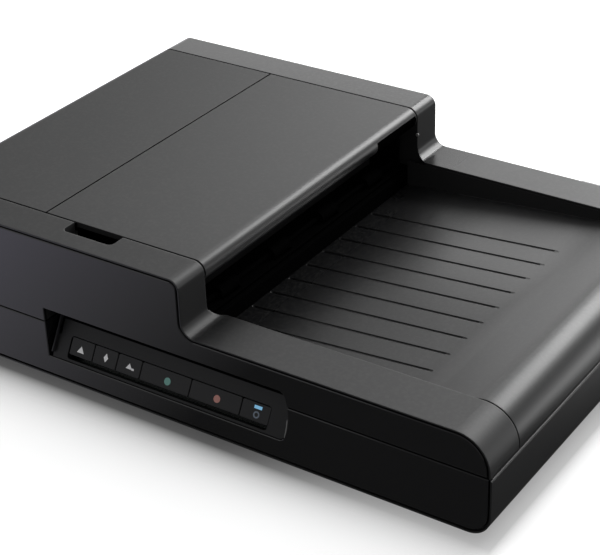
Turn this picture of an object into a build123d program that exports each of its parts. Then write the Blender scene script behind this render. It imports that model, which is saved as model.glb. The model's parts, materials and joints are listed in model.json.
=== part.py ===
from build123d import *
from math import acos, atan2, copysign, cos, hypot, pi, radians, sin, sqrt, tan
import os

os.makedirs("parts", exist_ok=True)

# A4 flatbed scanner with a sheet feeder in its lid. Millimetres, X to the right, Y to the rear,
# Z up, origin on the table under the middle of the whole machine. The lid is closed, and so are
# the covers on it.

# Overall sizes
machine_width = 469.0
machine_height = 120.0
case_depth = 328.0
hinge_reach = 8.5
foot_height = 8.0
parting_height = 52.3
parting_gap = 1.0

# Walls and clearances
wall = 2.2
front_plate = 2.5
fascia_edge = 0.5
shell_lip = 1.0
shadow_gap = 1.5
cover_gap = 1.5
seat_gap = 0.2
slide_gap = 0.4
seam_half = 0.7
running_gap = 0.05
roller_gap = 0.4

# Outline of the lid seen from the front
feeder_length = 242.5
crown_radius = 8.0
cove_radius = 9.5
rim_height = 79.5
roll_radius = 24.0
side_ledge = 1.2
rear_edge = 1.5

# Openings in the lid seen from above
strip_front = 27.8
strip_rear = 28.5
rim_front = 36.25
rim_rear = 33.5
feed_tray_length = 108.0
curtain = 2.0
finger_slot_inset = 26.0
finger_slot_length = 42.0
finger_slot_depth = 13.0
finger_slot_drop = 12.5
finger_slot_radius = 4.0

# Flatbed case
base_radius = 16.0
ledge_radius = 1.4
rear_corner_radius = 3.0
foot_radius = 9.0
foot_recess = 1.0
foot_chamfer = 0.8
foot_inset_x = 30.0
foot_inset_y = 26.0
frame_post_radius = 4.5
screw_radius = 1.5
screw_head_radius = 3.4
screw_head_height = 3.0
screw_length = 30.0
screw_recess = 4.2
screw_inset_x = 12.5
screw_inset_front = 15.0
screw_inset_rear = 10.0
vent_count = 14
vent_pitch = 7.0
vent_size = (3.0, 16.0)

# Flatbed window and glass
window_inset_left = 99.5
window_inset_right = 69.5
window_inset_front = 64.5
window_inset_rear = 44.0
window_lip = 1.0
rib_width = 2.0
rib_drop = 6.0
edge_rib_drop = 3.0
glass_margin = 4.0
glass_thickness = 3.0

# Control panel recess
recess_inset = 122.5
recess_bottom = 24.6
recess_top = 63.1
recess_end_top = 15.4
recess_end_middle = 18.7
recess_end_bottom = 13.4
recess_radius = 5.0
recess_wall = 1.6
panel_lean = 30.0
panel_inset = 1.0
panel_plate = 2.2
grip_depth = 17.0
button_slot_inset = 14.5
button_slot_low = 2.0
button_slot_high = 18.3
button_slot_radius = 2.5
button_low = 5.2
small_button = 20.0
wide_button = 40.8
power_button = 22.5
button_gap = 0.5
button_drop = 0.5
button_height = 4.5
button_travel = 0.8
button_corner = 1.2
button_edge = 0.4
panel_board_drop = 9.5
board_thickness = 1.6
switch_size = 6.0
peg_radius = 2.5
peg_margin = 5.0
panel_board_margin = 8.0

# Scan carriage and its drive
carriage_inset = 82.5
carriage_width = 28.0
carriage_rise = 17.8
carriage_room = 2.3
carriage_wall = 2.0
carriage_corner = 3.0
carriage_bearing = 5.0
carriage_rib = 1.0
jaw_width = 14.0
rod_radius = 3.0
rod_from_front = 137.5
rod_rise = 10.8
rod_inset_left = 44.5
rod_inset_right = 48.5
saddle_width = 8.0
saddle_wall = 5.0
saddle_rise = 2.0
belt_from_rear = 99.0
belt_rise = 9.2
belt_width = 5.2
belt_thickness = 1.3
motor_pulley_inset = 29.5
idler_pulley_inset = 54.5
idler_post_radius = 2.0
idler_shoulder_radius = 4.5
pulley_rim = 1.0
pulley_radius = 6.0
pulley_flange = 8.2
belt_play = 0.3
carriage_motor_radius = 13.0
carriage_motor_height = 6.6
carriage_motor_plug = (8.0, 7.0, 5.0)
carriage_overhang = 4.0
lens_width = 8.0
lens_inset = 6.0
lens_thickness = 1.2

# Main board and the sockets on it
board_inset_right = 18.5
board_inset_rear = 9.0
board_size = (26.5, 170.0)
board_rise = 5.8
board_margin = 5.0
standoff_radius = 3.0
processor_size = (16.0, 16.0, 1.5)
memory_size = (12.0, 10.0, 1.2)
plug_row_size = (18.0, 5.0, 5.0)
capacitor_radius = 3.2
capacitor_height = 8.0
capacitor_pitch = 9.0
usb_inset = 37.5
usb_size = (12.0, 16.0, 11.0)
usb_mouth = (8.4, 7.8)
usb_depth = 10.0
inlet_inset = 24.0
inlet_size = (10.0, 14.0, 11.0)
inlet_bore = 3.2
inlet_pin = 1.0

# Lid hinges at the rear
hinge_inset = 94.5
hinge_radius = 4.0
hinge_pin_radius = 2.0
hinge_knuckle = 15.0
hinge_ear = 6.0
hinge_leaf_height = 26.0
hinge_leaf = 2.0

# Lid pan and backing pad
pan_low = 54.0
pan_plate = 1.2
pad_margin = 1.5
pad_gap = 0.3
pad_sheet = 0.8

# Output tray
tray_start_inset = 5.8
tray_floor_low = 57.0
tray_floor_high = 69.5
ramp_length = 41.5
ramp_end_inset = 28.0
ramp_foot_radius = 120.0
ramp_crest_radius = 20.0
groove_count = 9
groove_pitch = 22.15
groove_inset_front = 25.5
groove_width = 2.4
groove_depth = 0.8
groove_end_gap = 6.0
tray_seam = 1.0
tray_side = 2.0
ramp_neck = 14.0
groove_start = 1.5

# Paper path
guide_plate = 1.8
guide_start_height = 101.0
guide_crest_height = 103.0
guide_crest_inset = 20.5
guide_bend_height = 90.0
guide_bend_inset = 46.5
guide_exit_height = 68.0
guide_exit_gap = 0.4
path_gap = 2.0
side_plate = 2.0
side_plate_rise = 3.0
shaft_radius = 3.0
shaft_room = 1.5
roller_rise = 0.8
tyre_room = 0.8

# Rollers, placed back from the step
feed_back = 113.0
feed_radius = 11.0
transport_back = 68.0
transport_radius = 8.0
eject_back = 18.0
eject_radius = 6.0
tyre_length = 20.0
tyre_spacing = 62.0
tyre_count = 4
retard_radius = 9.0
pinch_radius = 5.0
idler_shaft_radius = 2.0

# Gears and belt of the feeder
gear_module = 1.0
tooth_foot = 1.25
tooth_foot_share = 0.31
tooth_tip_share = 0.13
feed_teeth = 20
transport_teeth = 20
feeder_idler_teeth = 26
pinion_teeth = 12
pinion_angle = 30.0
gear_width = 5.0
gear_offset = 2.0
feeder_motor_radius = 17.0
motor_shaft_radius = 1.5
motor_gap = 1.5
eject_belt_width = 4.0
eject_belt_thickness = 1.2
transport_pulley_radius = 7.0
eject_pulley_radius = 6.0

# Image sensors of the feeder
lower_sensor_back = 45.0
sensor_width = 18.0
sensor_height = 11.5
sensor_margin = 9.4
upper_sensor_back = 40.0
sensor_lug = 4.0

# Upper paper guide
upper_left_back = 122.0
upper_plate_back = 78.0
upper_right_back = 9.0
upper_plate = 1.6
upper_margin = 10.45
retard_half = 52.0
ear_half = 5.0

# Feed tray, its extension and document guides
cover_skin = 2.2
flange = 1.8
tray_flange_low = 107.0
cover_flange_low = 108.5
cover_pin_radius = 2.5
lip_angle = 48.0
extension_thickness = 2.4
extension_inset = 28.5
extension_width = 172.0
extension_corner = 8.0
pull_size = (34.0, 9.0)
pull_inset = 12.0
liner_plate = 2.0
liner_inset = 20.5
liner_end_gap = 2.4
rack_thickness = 3.0
rack_width = 5.0
rack_play = 0.3
rack_foot = 9.0
rack_reach = 6.0
rail_wall = 2.0
rail_ledge = 3.0
guide_pinion_inset = 74.5
guide_pinion_teeth = 16
document_width = 216.0
guide_travel = 80.0
guide_length = 50.0
guide_foot = 1.2
guide_drop = 12.0
guide_wall = 2.0

# Places that follow from the sizes above
right = machine_width / 2
left = -right
front = -(case_depth + hinge_reach) / 2
rear = front + case_depth
top = machine_height
base_top = parting_height - parting_gap / 2
lid_bottom = parting_height + parting_gap / 2
lid_right = right - side_ledge
panel_seat = front_plate + seat_gap
inner_floor = foot_height + wall
rod_z = inner_floor + rod_rise
belt_low = inner_floor + belt_rise
carriage_low = inner_floor + carriage_rise
board_height = inner_floor + board_rise
step_x = left + feeder_length
tray_seam_x = left + feed_tray_length
finger_slot_left = tray_seam_x + finger_slot_inset
window_left = left + window_inset_left
window_right = right - window_inset_right
window_front = front + window_inset_front
window_rear = rear - window_inset_rear
carriage_x = left + carriage_inset
rod_left = left + rod_inset_left
rod_right = right - rod_inset_right
rod_y = front + rod_from_front
belt_y = rear - belt_from_rear
motor_pulley_x = left + motor_pulley_inset
idler_pulley_x = right - idler_pulley_inset
usb_x = right - usb_inset
inlet_x = right - inlet_inset
lid_hinge_x = right - hinge_inset
tray_start_x = step_x - tray_start_inset
ramp_end_x = right - ramp_end_inset
ramp_start_x = ramp_end_x - ramp_length
ramp_wide_x = ramp_end_x - ramp_neck
groove_end_x = ramp_start_x - groove_end_gap
feed_x = step_x - feed_back
transport_x = step_x - transport_back
eject_x = step_x - eject_back
lower_sensor_x = step_x - lower_sensor_back
upper_sensor_x = step_x - upper_sensor_back
upper_left = step_x - upper_left_back
upper_plate_left = step_x - upper_plate_back
upper_right = step_x - upper_right_back
extension_left = left + extension_inset
liner_left = left + liner_inset
guide_pinion_x = left + guide_pinion_inset
frame_low = base_top - wall
glass_top = base_top - window_lip
pan_top = pan_low + pan_plate
panel_front = front + strip_front
panel_rear = rear - strip_rear
rim_in_front = front + rim_front
rim_in_rear = rear - rim_rear
path_y = (panel_front + panel_rear) / 2
groove_middle = rim_in_front + groove_inset_front + groove_pitch * (groove_count - 1) / 2
upper_half = (panel_rear - panel_front) / 2 - upper_margin
sensor_length = (upper_half - sensor_margin) * 2
guide_start = (left + wall + seat_gap * 2.5, guide_start_height)
guide_crest = (left + guide_crest_inset, guide_crest_height)
guide_bend = (left + guide_bend_inset, guide_bend_height)
guide_exit = (tray_start_x - guide_exit_gap, guide_exit_height)
feeder_axis = (step_x - crown_radius, top - crown_radius)
tray_axis = (left + crown_radius, top - crown_radius)
lid_axis = (rear + hinge_reach - hinge_radius, parting_height)
skin_low = top - cover_skin
recess_left = left + recess_inset
button_slot_left = recess_left + button_slot_inset
button_names = ["copy_button", "mail_button", "file_button", "start_button", "stop_button",
                "power_button"]
button_widths = [small_button] * 3 + [wide_button] * 2 + [power_button]
button_lefts = [button_slot_left + sum(button_widths[:i]) + button_gap * (i + 1)
                for i in range(len(button_widths))]
button_slot_right = button_lefts[-1] + button_widths[-1] + button_gap
recess_right_top = button_slot_right + recess_end_top
recess_right_middle = button_slot_right + recess_end_middle
recess_right_bottom = button_slot_right + recess_end_bottom
side_front = panel_front + cover_gap + seat_gap
side_rear = panel_rear - cover_gap - seat_gap
gear_y = panel_rear + curtain + gear_offset
pulley_y = panel_front - curtain - gear_offset - eject_belt_width


def across(y):
    # upright plane at y, seen from the front
    return Plane.XZ.offset(-y)


def block(x_low, x_high, y_low, y_high, z_low, z_high, mode=Mode.ADD):
    with Locations(((x_low + x_high) / 2, (y_low + y_high) / 2, (z_low + z_high) / 2)):
        Box(x_high - x_low, y_high - y_low, z_high - z_low, mode=mode)


def slab(profile, y_low, y_high, mode=Mode.ADD):
    # a front-view profile given depth from y_low to y_high
    with BuildSketch(across(y_high)) as face:
        add(profile)
    extrude(face.sketch, amount=y_high - y_low, mode=mode)


def bar(x, z, radius, y_low, y_high, mode=Mode.ADD):
    # a round bar along Y
    with BuildSketch(across(y_high)) as face:
        with Locations((x, z)):
            Circle(radius)
    extrude(face.sketch, amount=y_high - y_low, mode=mode)


def post(x, y, radius, z_low, z_high, mode=Mode.ADD):
    # a round bar along Z
    with BuildSketch(Plane.XY.offset(z_low)) as face:
        with Locations((x, y)):
            Circle(radius)
    extrude(face.sketch, amount=z_high - z_low, mode=mode)


def beam(y, z, radius, x_low, x_high, mode=Mode.ADD):
    # a round bar along X
    with BuildSketch(Plane.YZ.offset(x_low)) as face:
        with Locations((y, z)):
            Circle(radius)
    extrude(face.sketch, amount=x_high - x_low, mode=mode)


def span(a, b):
    return (min(a, b), max(a, b))


def span_pair(near, thickness):
    # Y ranges of two upright walls, as far in front of the paper path's middle as behind it
    return ((path_y - near - thickness, path_y - near), (path_y + near, path_y + near + thickness))


def corner(shape, x, y):
    return shape.vertices().sort_by_distance((x, y, 0))[0]


def lid_outline(inset, low):
    # front view of the lid, drawn in by inset and cut off at height low
    with BuildSketch() as outline:
        with BuildLine():
            Polyline((left + inset, low), (left + inset, top - inset),
                     (step_x - inset, top - inset), (step_x - inset, rim_height - inset),
                     (lid_right - inset, rim_height - inset), (lid_right - inset, low), close=True)
        make_face()
        fillet(corner(outline, left + inset, top - inset), crown_radius - inset)
        fillet(corner(outline, step_x - inset, top - inset), crown_radius - inset)
        fillet(corner(outline, step_x - inset, rim_height - inset), cove_radius + inset)
        fillet(corner(outline, lid_right - inset, rim_height - inset), roll_radius - inset)
    return outline.sketch


def base_outline(inset, high):
    # front view of the flatbed case, drawn in by inset and cut off at height high
    low = foot_height + inset
    with BuildSketch() as outline:
        with BuildLine():
            Polyline((left + inset, high), (left + inset, low),
                     (right - inset, low), (right - inset, high), close=True)
        make_face()
        fillet(corner(outline, left + inset, low), base_radius - inset)
        fillet(corner(outline, right - inset, low), base_radius - inset)
    return outline.sketch


def recess_outline(inset):
    # front view of the control panel recess, with its bowed right end
    with BuildSketch() as outline:
        with BuildLine():
            Polyline((recess_right_bottom, recess_bottom), (recess_left, recess_bottom),
                     (recess_left, recess_top), (recess_right_top, recess_top))
            ThreePointArc((recess_right_top, recess_top),
                          (recess_right_middle, (recess_bottom + recess_top) / 2),
                          (recess_right_bottom, recess_bottom))
        make_face()
        fillet(corner(outline, recess_right_bottom, recess_bottom), recess_radius)
        fillet(corner(outline, recess_right_top, recess_top), recess_radius)
        if inset:
            offset(amount=-inset)
    return outline.sketch


def finish(piece, name):
    piece.part.label = name
    export_step(piece.part, f"parts/{name}.step")


# Flatbed case

foot_places = [(sx * (right - foot_inset_x), y) for sx in (-1, 1)
               for y in (front + foot_inset_y, rear - foot_inset_y)]
screw_places = [(sx * (right - screw_inset_x), y) for sx in (-1, 1)
                for y in (front + screw_inset_front, rear - screw_inset_rear)]
screw_seat = foot_height + screw_recess
board_right = right - board_inset_right
board_left = board_right - board_size[0]
board_rear = rear - board_inset_rear
board_front = board_rear - board_size[1]
socket_face = rear - shell_lip / 2
post_split = inner_floor + screw_length / 2

with BuildPart() as lower_case:
    slab(base_outline(0, base_top), front, rear)
    fillet(lower_case.edges().filter_by(Axis.Z).group_by(Axis.Y)[-1], rear_corner_radius)
    # this rounding runs on round the rear corners and along the rear edge
    fillet(lower_case.faces().sort_by(Axis.Z)[-1].edges().filter_by(Axis.Y), ledge_radius)
    slab(base_outline(wall, base_top + 1), front - 1, rear - wall, Mode.SUBTRACT)
    slab(base_outline(shell_lip, base_top + 1), front - 1, front + panel_seat, Mode.SUBTRACT)
    for x, y in screw_places:
        post(x, y, frame_post_radius + wall / 2, inner_floor - 1, post_split)
        post(x, y, screw_head_radius + seat_gap, foot_height - 1, screw_seat, Mode.SUBTRACT)
        post(x, y, screw_radius + seat_gap, foot_height - 1, post_split + 1, Mode.SUBTRACT)
    for x, y in foot_places:
        post(x, y, foot_radius + seat_gap / 2, foot_height - 1, foot_height + foot_recess,
             Mode.SUBTRACT)
    # saddles of the carriage rod, and the rib that carries the carriage's rear end
    for x in (rod_left, rod_right - saddle_width):
        block(x, x + saddle_width, rod_y - rod_radius - saddle_wall,
              rod_y + rod_radius + saddle_wall, inner_floor - 1,
              rod_z + rod_radius + saddle_rise)
    beam(rod_y, rod_z, rod_radius, rod_left, rod_right, Mode.SUBTRACT)
    block(rod_left, rod_right - saddle_width, window_rear - wall * 2, window_rear - wall,
          inner_floor - 1, carriage_low - slide_gap)
    # post of the idler pulley and standoffs of the main board
    post(idler_pulley_x, belt_y, idler_post_radius, inner_floor - 1,
         belt_low + belt_width + pulley_rim * 2)
    post(idler_pulley_x, belt_y, idler_shoulder_radius, inner_floor - 1,
         belt_low - slide_gap - pulley_rim - running_gap * 2)
    for x in (board_left + board_margin, board_right - board_margin):
        for y in (board_front + board_margin, board_rear - usb_size[1] * 2):
            post(x, y, standoff_radius, inner_floor - 1, board_height)
    # mouths of the sockets and the vents in the rear wall
    block(usb_x - usb_size[0] / 2 - seat_gap, usb_x + usb_size[0] / 2 + seat_gap, rear - wall - 1,
          rear + 1, board_height + board_thickness - seat_gap,
          board_height + board_thickness + usb_size[2] + seat_gap, Mode.SUBTRACT)
    block(inlet_x - inlet_size[0] / 2 - seat_gap, inlet_x + inlet_size[0] / 2 + seat_gap,
          rear - wall - 1, rear + 1, board_height + board_thickness - seat_gap,
          board_height + board_thickness + inlet_size[2] + seat_gap, Mode.SUBTRACT)
    with BuildSketch(across(rear + 1)) as vents:
        with Locations((0, (inner_floor + base_top) / 2)):
            with GridLocations(vent_pitch, 1, vent_count, 1):
                Rectangle(*vent_size)
    extrude(vents.sketch, amount=wall + 2, mode=Mode.SUBTRACT)
finish(lower_case, "lower_case")

lean = Plane(origin=(0, front + panel_inset, recess_bottom), x_dir=(1, 0, 0),
             z_dir=(0, -cos(radians(panel_lean)), sin(radians(panel_lean))))
panel_height = (base_top - recess_bottom) / cos(radians(panel_lean))
recess_open = recess_outline(0)
recess_depth = (panel_inset + (base_top - recess_bottom) * tan(radians(panel_lean))
                + panel_plate / cos(radians(panel_lean)))

with BuildPart() as front_panel:
    slab(recess_outline(-recess_wall), front + front_plate / 2, front + recess_depth)
    with BuildSketch(lean.offset(-panel_plate)) as behind_panel:
        Rectangle(machine_width, case_depth)
    extrude(behind_panel.sketch, amount=-case_depth, mode=Mode.SUBTRACT)
    slab(base_outline(shell_lip + shadow_gap, base_top), front, front + front_plate)
    slab(recess_open, front - 1, front + recess_depth + 1, Mode.SUBTRACT)
    block(left, right, front - 1, front + recess_depth + 1, base_top, recess_top + wall,
          Mode.SUBTRACT)
    chamfer(front_panel.faces().sort_by(Axis.Y)[0].edges(), fascia_edge)
finish(front_panel, "front_panel")

# Control panel: a plate that leans back in the recess, its buttons, and the board behind it

button_high = button_slot_high - button_gap
slot_centre = (button_slot_low + button_slot_high) / 2
panel_board_height = button_slot_high + peg_radius
slot_middle = (button_slot_left + button_slot_right) / 2
button_back = button_drop + button_height
switch_top = button_back + button_travel + seat_gap

with BuildPart() as control_panel:
    with BuildSketch(lean) as plate:
        with Locations((0, panel_height / 2)):
            Rectangle(machine_width, panel_height * 2)
    extrude(plate.sketch, amount=-panel_plate)
    slab(recess_outline(seat_gap), front, front + case_depth, Mode.INTERSECT)
    block(left, right, front - 1, rear, base_top, top, Mode.SUBTRACT)
    with BuildSketch(lean) as slot:
        with Locations((slot_middle, (button_slot_low + button_slot_high) / 2)):
            RectangleRounded(button_slot_right - button_slot_left,
                             button_slot_high - button_slot_low, button_slot_radius)
    extrude(slot.sketch, amount=-panel_plate, mode=Mode.SUBTRACT)
    # skirt round the slot that guides the buttons, and pegs that carry the board
    with BuildSketch(lean.offset(-panel_plate)) as skirt:
        with Locations((slot_middle, (button_slot_low + button_slot_high) / 2)):
            RectangleRounded(button_slot_right - button_slot_left + recess_wall * 2,
                             button_slot_high - button_slot_low + recess_wall,
                             button_slot_radius + recess_wall / 2)
            RectangleRounded(button_slot_right - button_slot_left,
                             button_slot_high - button_slot_low, button_slot_radius,
                             mode=Mode.SUBTRACT)
    extrude(skirt.sketch, amount=-button_height / 2)
    with BuildSketch(lean.offset(-panel_plate)) as pegs:
        with Locations((button_slot_left - peg_margin, slot_centre),
                       (button_slot_right + peg_margin, slot_centre)):
            Circle(peg_radius)
    extrude(pegs.sketch, amount=panel_plate - panel_board_drop)
finish(control_panel, "control_panel")

facing_out = Axis((0, 0, 0), lean.z_dir)

for name, x, width in zip(button_names, button_lefts, button_widths):
    with BuildPart() as button:
        with BuildSketch(lean.offset(-button_drop)) as cap:
            with Locations((x + width / 2, (button_low + button_high) / 2)):
                RectangleRounded(width, button_high - button_low, button_corner)
        extrude(cap.sketch, amount=-button_height)
        chamfer(button.faces().sort_by(facing_out)[-1].edges(), button_edge)
    finish(button, name)

with BuildPart() as panel_board:
    with BuildSketch(lean.offset(-panel_board_drop)) as board:
        with Locations((slot_middle, slot_centre)):
            Rectangle(button_slot_right - button_slot_left + panel_board_margin * 2,
                      panel_board_height)
    extrude(board.sketch, amount=-board_thickness)
    with BuildSketch(lean.offset(-switch_top)) as switches:
        for x, width in zip(button_lefts, button_widths):
            with Locations((x + width / 2, (button_low + button_high) / 2)):
                Rectangle(switch_size, switch_size)
    extrude(switches.sketch, amount=switch_top - panel_board_drop)
finish(panel_board, "panel_board")

# Flatbed: the frame round the glass, the glass, feet and screws

frame_left = left + wall + seat_gap
frame_front = front + front_plate + seat_gap
frame_rear = rear - wall - seat_gap

with BuildPart() as platen_frame:
    block(frame_left, -frame_left, frame_front, frame_rear, frame_low, base_top)
    fillet(platen_frame.edges().filter_by(Axis.Z).group_by(Axis.Y)[-1],
           rear_corner_radius - wall)
    block(window_left, window_right, window_front, window_rear, frame_low - 1, base_top + 1,
          Mode.SUBTRACT)
    block(window_left - glass_margin - seat_gap, window_right + glass_margin + seat_gap,
          window_front - glass_margin - seat_gap, window_rear + glass_margin + seat_gap,
          frame_low - 1, glass_top, Mode.SUBTRACT)
    block(recess_left - recess_wall - seat_gap, recess_right_middle + recess_wall + seat_gap,
          front, front + recess_depth + seat_gap, frame_low - 1, base_top + 1, Mode.SUBTRACT)
    # stiffening ribs under the frame, and posts that take the case screws
    for x in (left / 2, 0, right / 2):
        block(x - rib_width / 2, x + rib_width / 2, frame_front + recess_depth + wall,
              window_front - glass_margin - carriage_overhang - wall, frame_low - rib_drop,
              base_top)
    for y in (frame_rear - rib_drop, window_rear + glass_margin + wall):
        block(rod_left, rod_right, y - rib_width / 2, y + rib_width / 2,
              frame_low - edge_rib_drop, base_top)
    for x, y in screw_places:
        post(x, y, frame_post_radius, post_split, base_top)
        post(x, y, screw_radius, post_split - 1, screw_seat + screw_length, Mode.SUBTRACT)
finish(platen_frame, "platen_frame")

with BuildPart() as platen_glass:
    block(window_left - glass_margin, window_right + glass_margin, window_front - glass_margin,
          window_rear + glass_margin, glass_top - glass_thickness, glass_top)
finish(platen_glass, "platen_glass")

with BuildPart() as rubber_feet:
    for x, y in foot_places:
        post(x, y, foot_radius, 0, foot_height + foot_recess)
    chamfer(rubber_feet.faces().filter_by(Axis.Z).group_by(Axis.Z)[0].edges(),
            foot_chamfer)
finish(rubber_feet, "rubber_feet")

with BuildPart() as case_screws:
    for x, y in screw_places:
        post(x, y, screw_head_radius, screw_seat - screw_head_height, screw_seat)
        post(x, y, screw_radius, screw_seat, screw_seat + screw_length - 1)
finish(case_screws, "case_screws")

# Scan carriage with its rod, motor, pulleys and belt

carriage_top = glass_top - glass_thickness - carriage_room
carriage_left = carriage_x - carriage_width / 2
carriage_right = carriage_x + carriage_width / 2
carriage_front = window_front - glass_margin - carriage_overhang
carriage_rear = window_rear + glass_margin + carriage_overhang
belt_high = belt_low + belt_width
bearing_half = rod_radius + carriage_bearing
pitch_radius = pulley_radius + belt_play

with BuildPart() as carriage_rod:
    beam(rod_y, rod_z, rod_radius, rod_left, rod_right)
finish(carriage_rod, "carriage_rod")

with BuildPart() as carriage:
    block(carriage_left, carriage_right, carriage_front, carriage_rear, carriage_low,
          carriage_top)
    fillet(carriage.edges().filter_by(Axis.Z), carriage_corner)
    block(carriage_left + carriage_wall, carriage_right - carriage_wall,
          carriage_front + carriage_wall, rod_y - bearing_half - carriage_rib, carriage_low - 1,
          carriage_top - carriage_wall, Mode.SUBTRACT)
    block(carriage_left + carriage_wall, carriage_right - carriage_wall,
          rod_y + bearing_half + carriage_rib,
          carriage_rear - carriage_wall, carriage_low - 1, carriage_top - carriage_wall,
          Mode.SUBTRACT)
    # window for the line of light, bearing of the rod, and the jaw beside the belt
    block(carriage_x - lens_width / 2, carriage_x + lens_width / 2, carriage_front + lens_inset,
          carriage_rear - lens_inset, carriage_top - lens_thickness, carriage_top + 1,
          Mode.SUBTRACT)
    block(carriage_left, carriage_right, rod_y - bearing_half, rod_y + bearing_half,
          rod_z - rod_radius - carriage_corner, carriage_low + 1)
    beam(rod_y, rod_z, rod_radius + running_gap, carriage_left, carriage_right, Mode.SUBTRACT)
    jaw = belt_y - pitch_radius - belt_thickness - slide_gap
    block(carriage_x - jaw_width / 2, carriage_x + jaw_width / 2, jaw - carriage_wall, jaw,
          belt_low, carriage_top - carriage_wall)
finish(carriage, "carriage")

with BuildPart() as carriage_lens:
    block(carriage_x - lens_width / 2, carriage_x + lens_width / 2, carriage_front + lens_inset,
          carriage_rear - lens_inset, carriage_top - lens_thickness, carriage_top)
finish(carriage_lens, "carriage_lens")

with BuildPart() as carriage_motor:
    post(motor_pulley_x, belt_y, carriage_motor_radius, inner_floor,
         inner_floor + carriage_motor_height)
    chamfer(carriage_motor.faces().sort_by(Axis.Z)[-1].edges(), button_edge)
    motor_side = belt_y + carriage_motor_radius
    block(motor_pulley_x - carriage_motor_plug[0] / 2, motor_pulley_x + carriage_motor_plug[0] / 2,
          motor_side - 2, motor_side - 2 + carriage_motor_plug[1], inner_floor,
          inner_floor + carriage_motor_plug[2])
    post(motor_pulley_x, belt_y, motor_shaft_radius + running_gap, inner_floor + 1.5,
         inner_floor + carriage_motor_height + 1, Mode.SUBTRACT)
finish(carriage_motor, "carriage_motor")

with BuildPart() as motor_pulley:
    post(motor_pulley_x, belt_y, pulley_radius, belt_low - slide_gap, belt_high + slide_gap)
    post(motor_pulley_x, belt_y, pulley_flange, belt_low - slide_gap - pulley_rim, belt_low - slide_gap)
    post(motor_pulley_x, belt_y, pulley_flange, belt_high + slide_gap, belt_high + slide_gap + pulley_rim)
    post(motor_pulley_x, belt_y, motor_shaft_radius, inner_floor + 1.8, belt_high + 2)
finish(motor_pulley, "motor_pulley")

with BuildPart() as idler_pulley:
    post(idler_pulley_x, belt_y, pulley_radius, belt_low - slide_gap, belt_high + slide_gap)
    post(idler_pulley_x, belt_y, pulley_flange, belt_low - slide_gap - pulley_rim, belt_low - slide_gap)
    post(idler_pulley_x, belt_y, pulley_flange, belt_high + slide_gap, belt_high + slide_gap + pulley_rim)
    post(idler_pulley_x, belt_y, idler_post_radius + running_gap, belt_low - pulley_flange,
         belt_high + pulley_flange, Mode.SUBTRACT)
finish(idler_pulley, "idler_pulley")

with BuildPart() as carriage_belt:
    with BuildSketch(Plane.XY.offset(belt_low)) as loop:
        with Locations(((motor_pulley_x + idler_pulley_x) / 2, belt_y)):
            SlotCenterToCenter(idler_pulley_x - motor_pulley_x,
                               (pitch_radius + belt_thickness) * 2)
            SlotCenterToCenter(idler_pulley_x - motor_pulley_x, pitch_radius * 2,
                               mode=Mode.SUBTRACT)
    extrude(loop.sketch, amount=belt_width)
finish(carriage_belt, "carriage_belt")

# Main board, USB socket and power inlet

board_top = board_height + board_thickness
usb_middle = board_top + usb_size[2] / 2
inlet_middle = board_top + inlet_size[2] / 2

with BuildPart() as main_board:
    block(board_left, board_right, board_front, board_rear, board_height, board_top)
    part_y = board_front + board_margin * 3
    for length, width, height in (plug_row_size, processor_size, memory_size):
        block(board_left + board_margin, board_left + board_margin + length, part_y,
              part_y + width, board_top, board_top + height)
        part_y += width + board_margin * 3
    for i in range(3):
        post((board_left + board_right) / 2, part_y + capacitor_pitch * i, capacitor_radius,
             board_top, board_top + capacitor_height)
finish(main_board, "main_board")

with BuildPart() as usb_socket:
    block(usb_x - usb_size[0] / 2, usb_x + usb_size[0] / 2, socket_face - usb_size[1],
          socket_face, board_top, board_top + usb_size[2])
    with BuildSketch(across(socket_face)) as mouth:
        with Locations((usb_x, usb_middle)):
            Rectangle(*usb_mouth)
            chamfer(mouth.vertices().group_by(Axis.Y)[-1], 1.6)
            Rectangle(usb_mouth[0] * 0.62, usb_mouth[1] * 0.36, mode=Mode.SUBTRACT)
    extrude(mouth.sketch, amount=-usb_depth, mode=Mode.SUBTRACT)
finish(usb_socket, "usb_socket")

with BuildPart() as power_inlet:
    block(inlet_x - inlet_size[0] / 2, inlet_x + inlet_size[0] / 2, socket_face - inlet_size[1],
          socket_face, board_top, board_top + inlet_size[2])
    bar(inlet_x, inlet_middle, inlet_bore, socket_face - 9, socket_face + 1, Mode.SUBTRACT)
    bar(inlet_x, inlet_middle, inlet_pin, socket_face - 10, socket_face - 1)
finish(power_inlet, "power_inlet")

# Rear hinges of the lid

hinge_places = (-lid_hinge_x, lid_hinge_x)
ear_outer = hinge_knuckle / 2 + slide_gap + hinge_ear
hinge_back = lid_axis[0] + hinge_radius
hinge_seat = lid_axis[1] - hinge_radius - slide_gap

with BuildPart() as hinge_brackets:
    for x in hinge_places:
        for low in (x - ear_outer, x + ear_outer - hinge_ear):
            beam(*lid_axis, hinge_radius, low, low + hinge_ear)
            block(low, low + hinge_ear, rear, hinge_back, hinge_seat - hinge_leaf, lid_axis[1])
        block(x - ear_outer, x + ear_outer, rear, hinge_back, hinge_seat - hinge_leaf, hinge_seat)
        block(x - ear_outer, x + ear_outer, rear, rear + hinge_leaf,
              lid_axis[1] - hinge_leaf_height, hinge_seat)
        beam(*lid_axis, hinge_pin_radius, x - ear_outer, x + ear_outer, Mode.SUBTRACT)
finish(hinge_brackets, "hinge_brackets")

with BuildPart() as hinge_pins:
    for x in hinge_places:
        beam(*lid_axis, hinge_pin_radius, x - ear_outer, x + ear_outer)
finish(hinge_pins, "hinge_pins")

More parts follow.
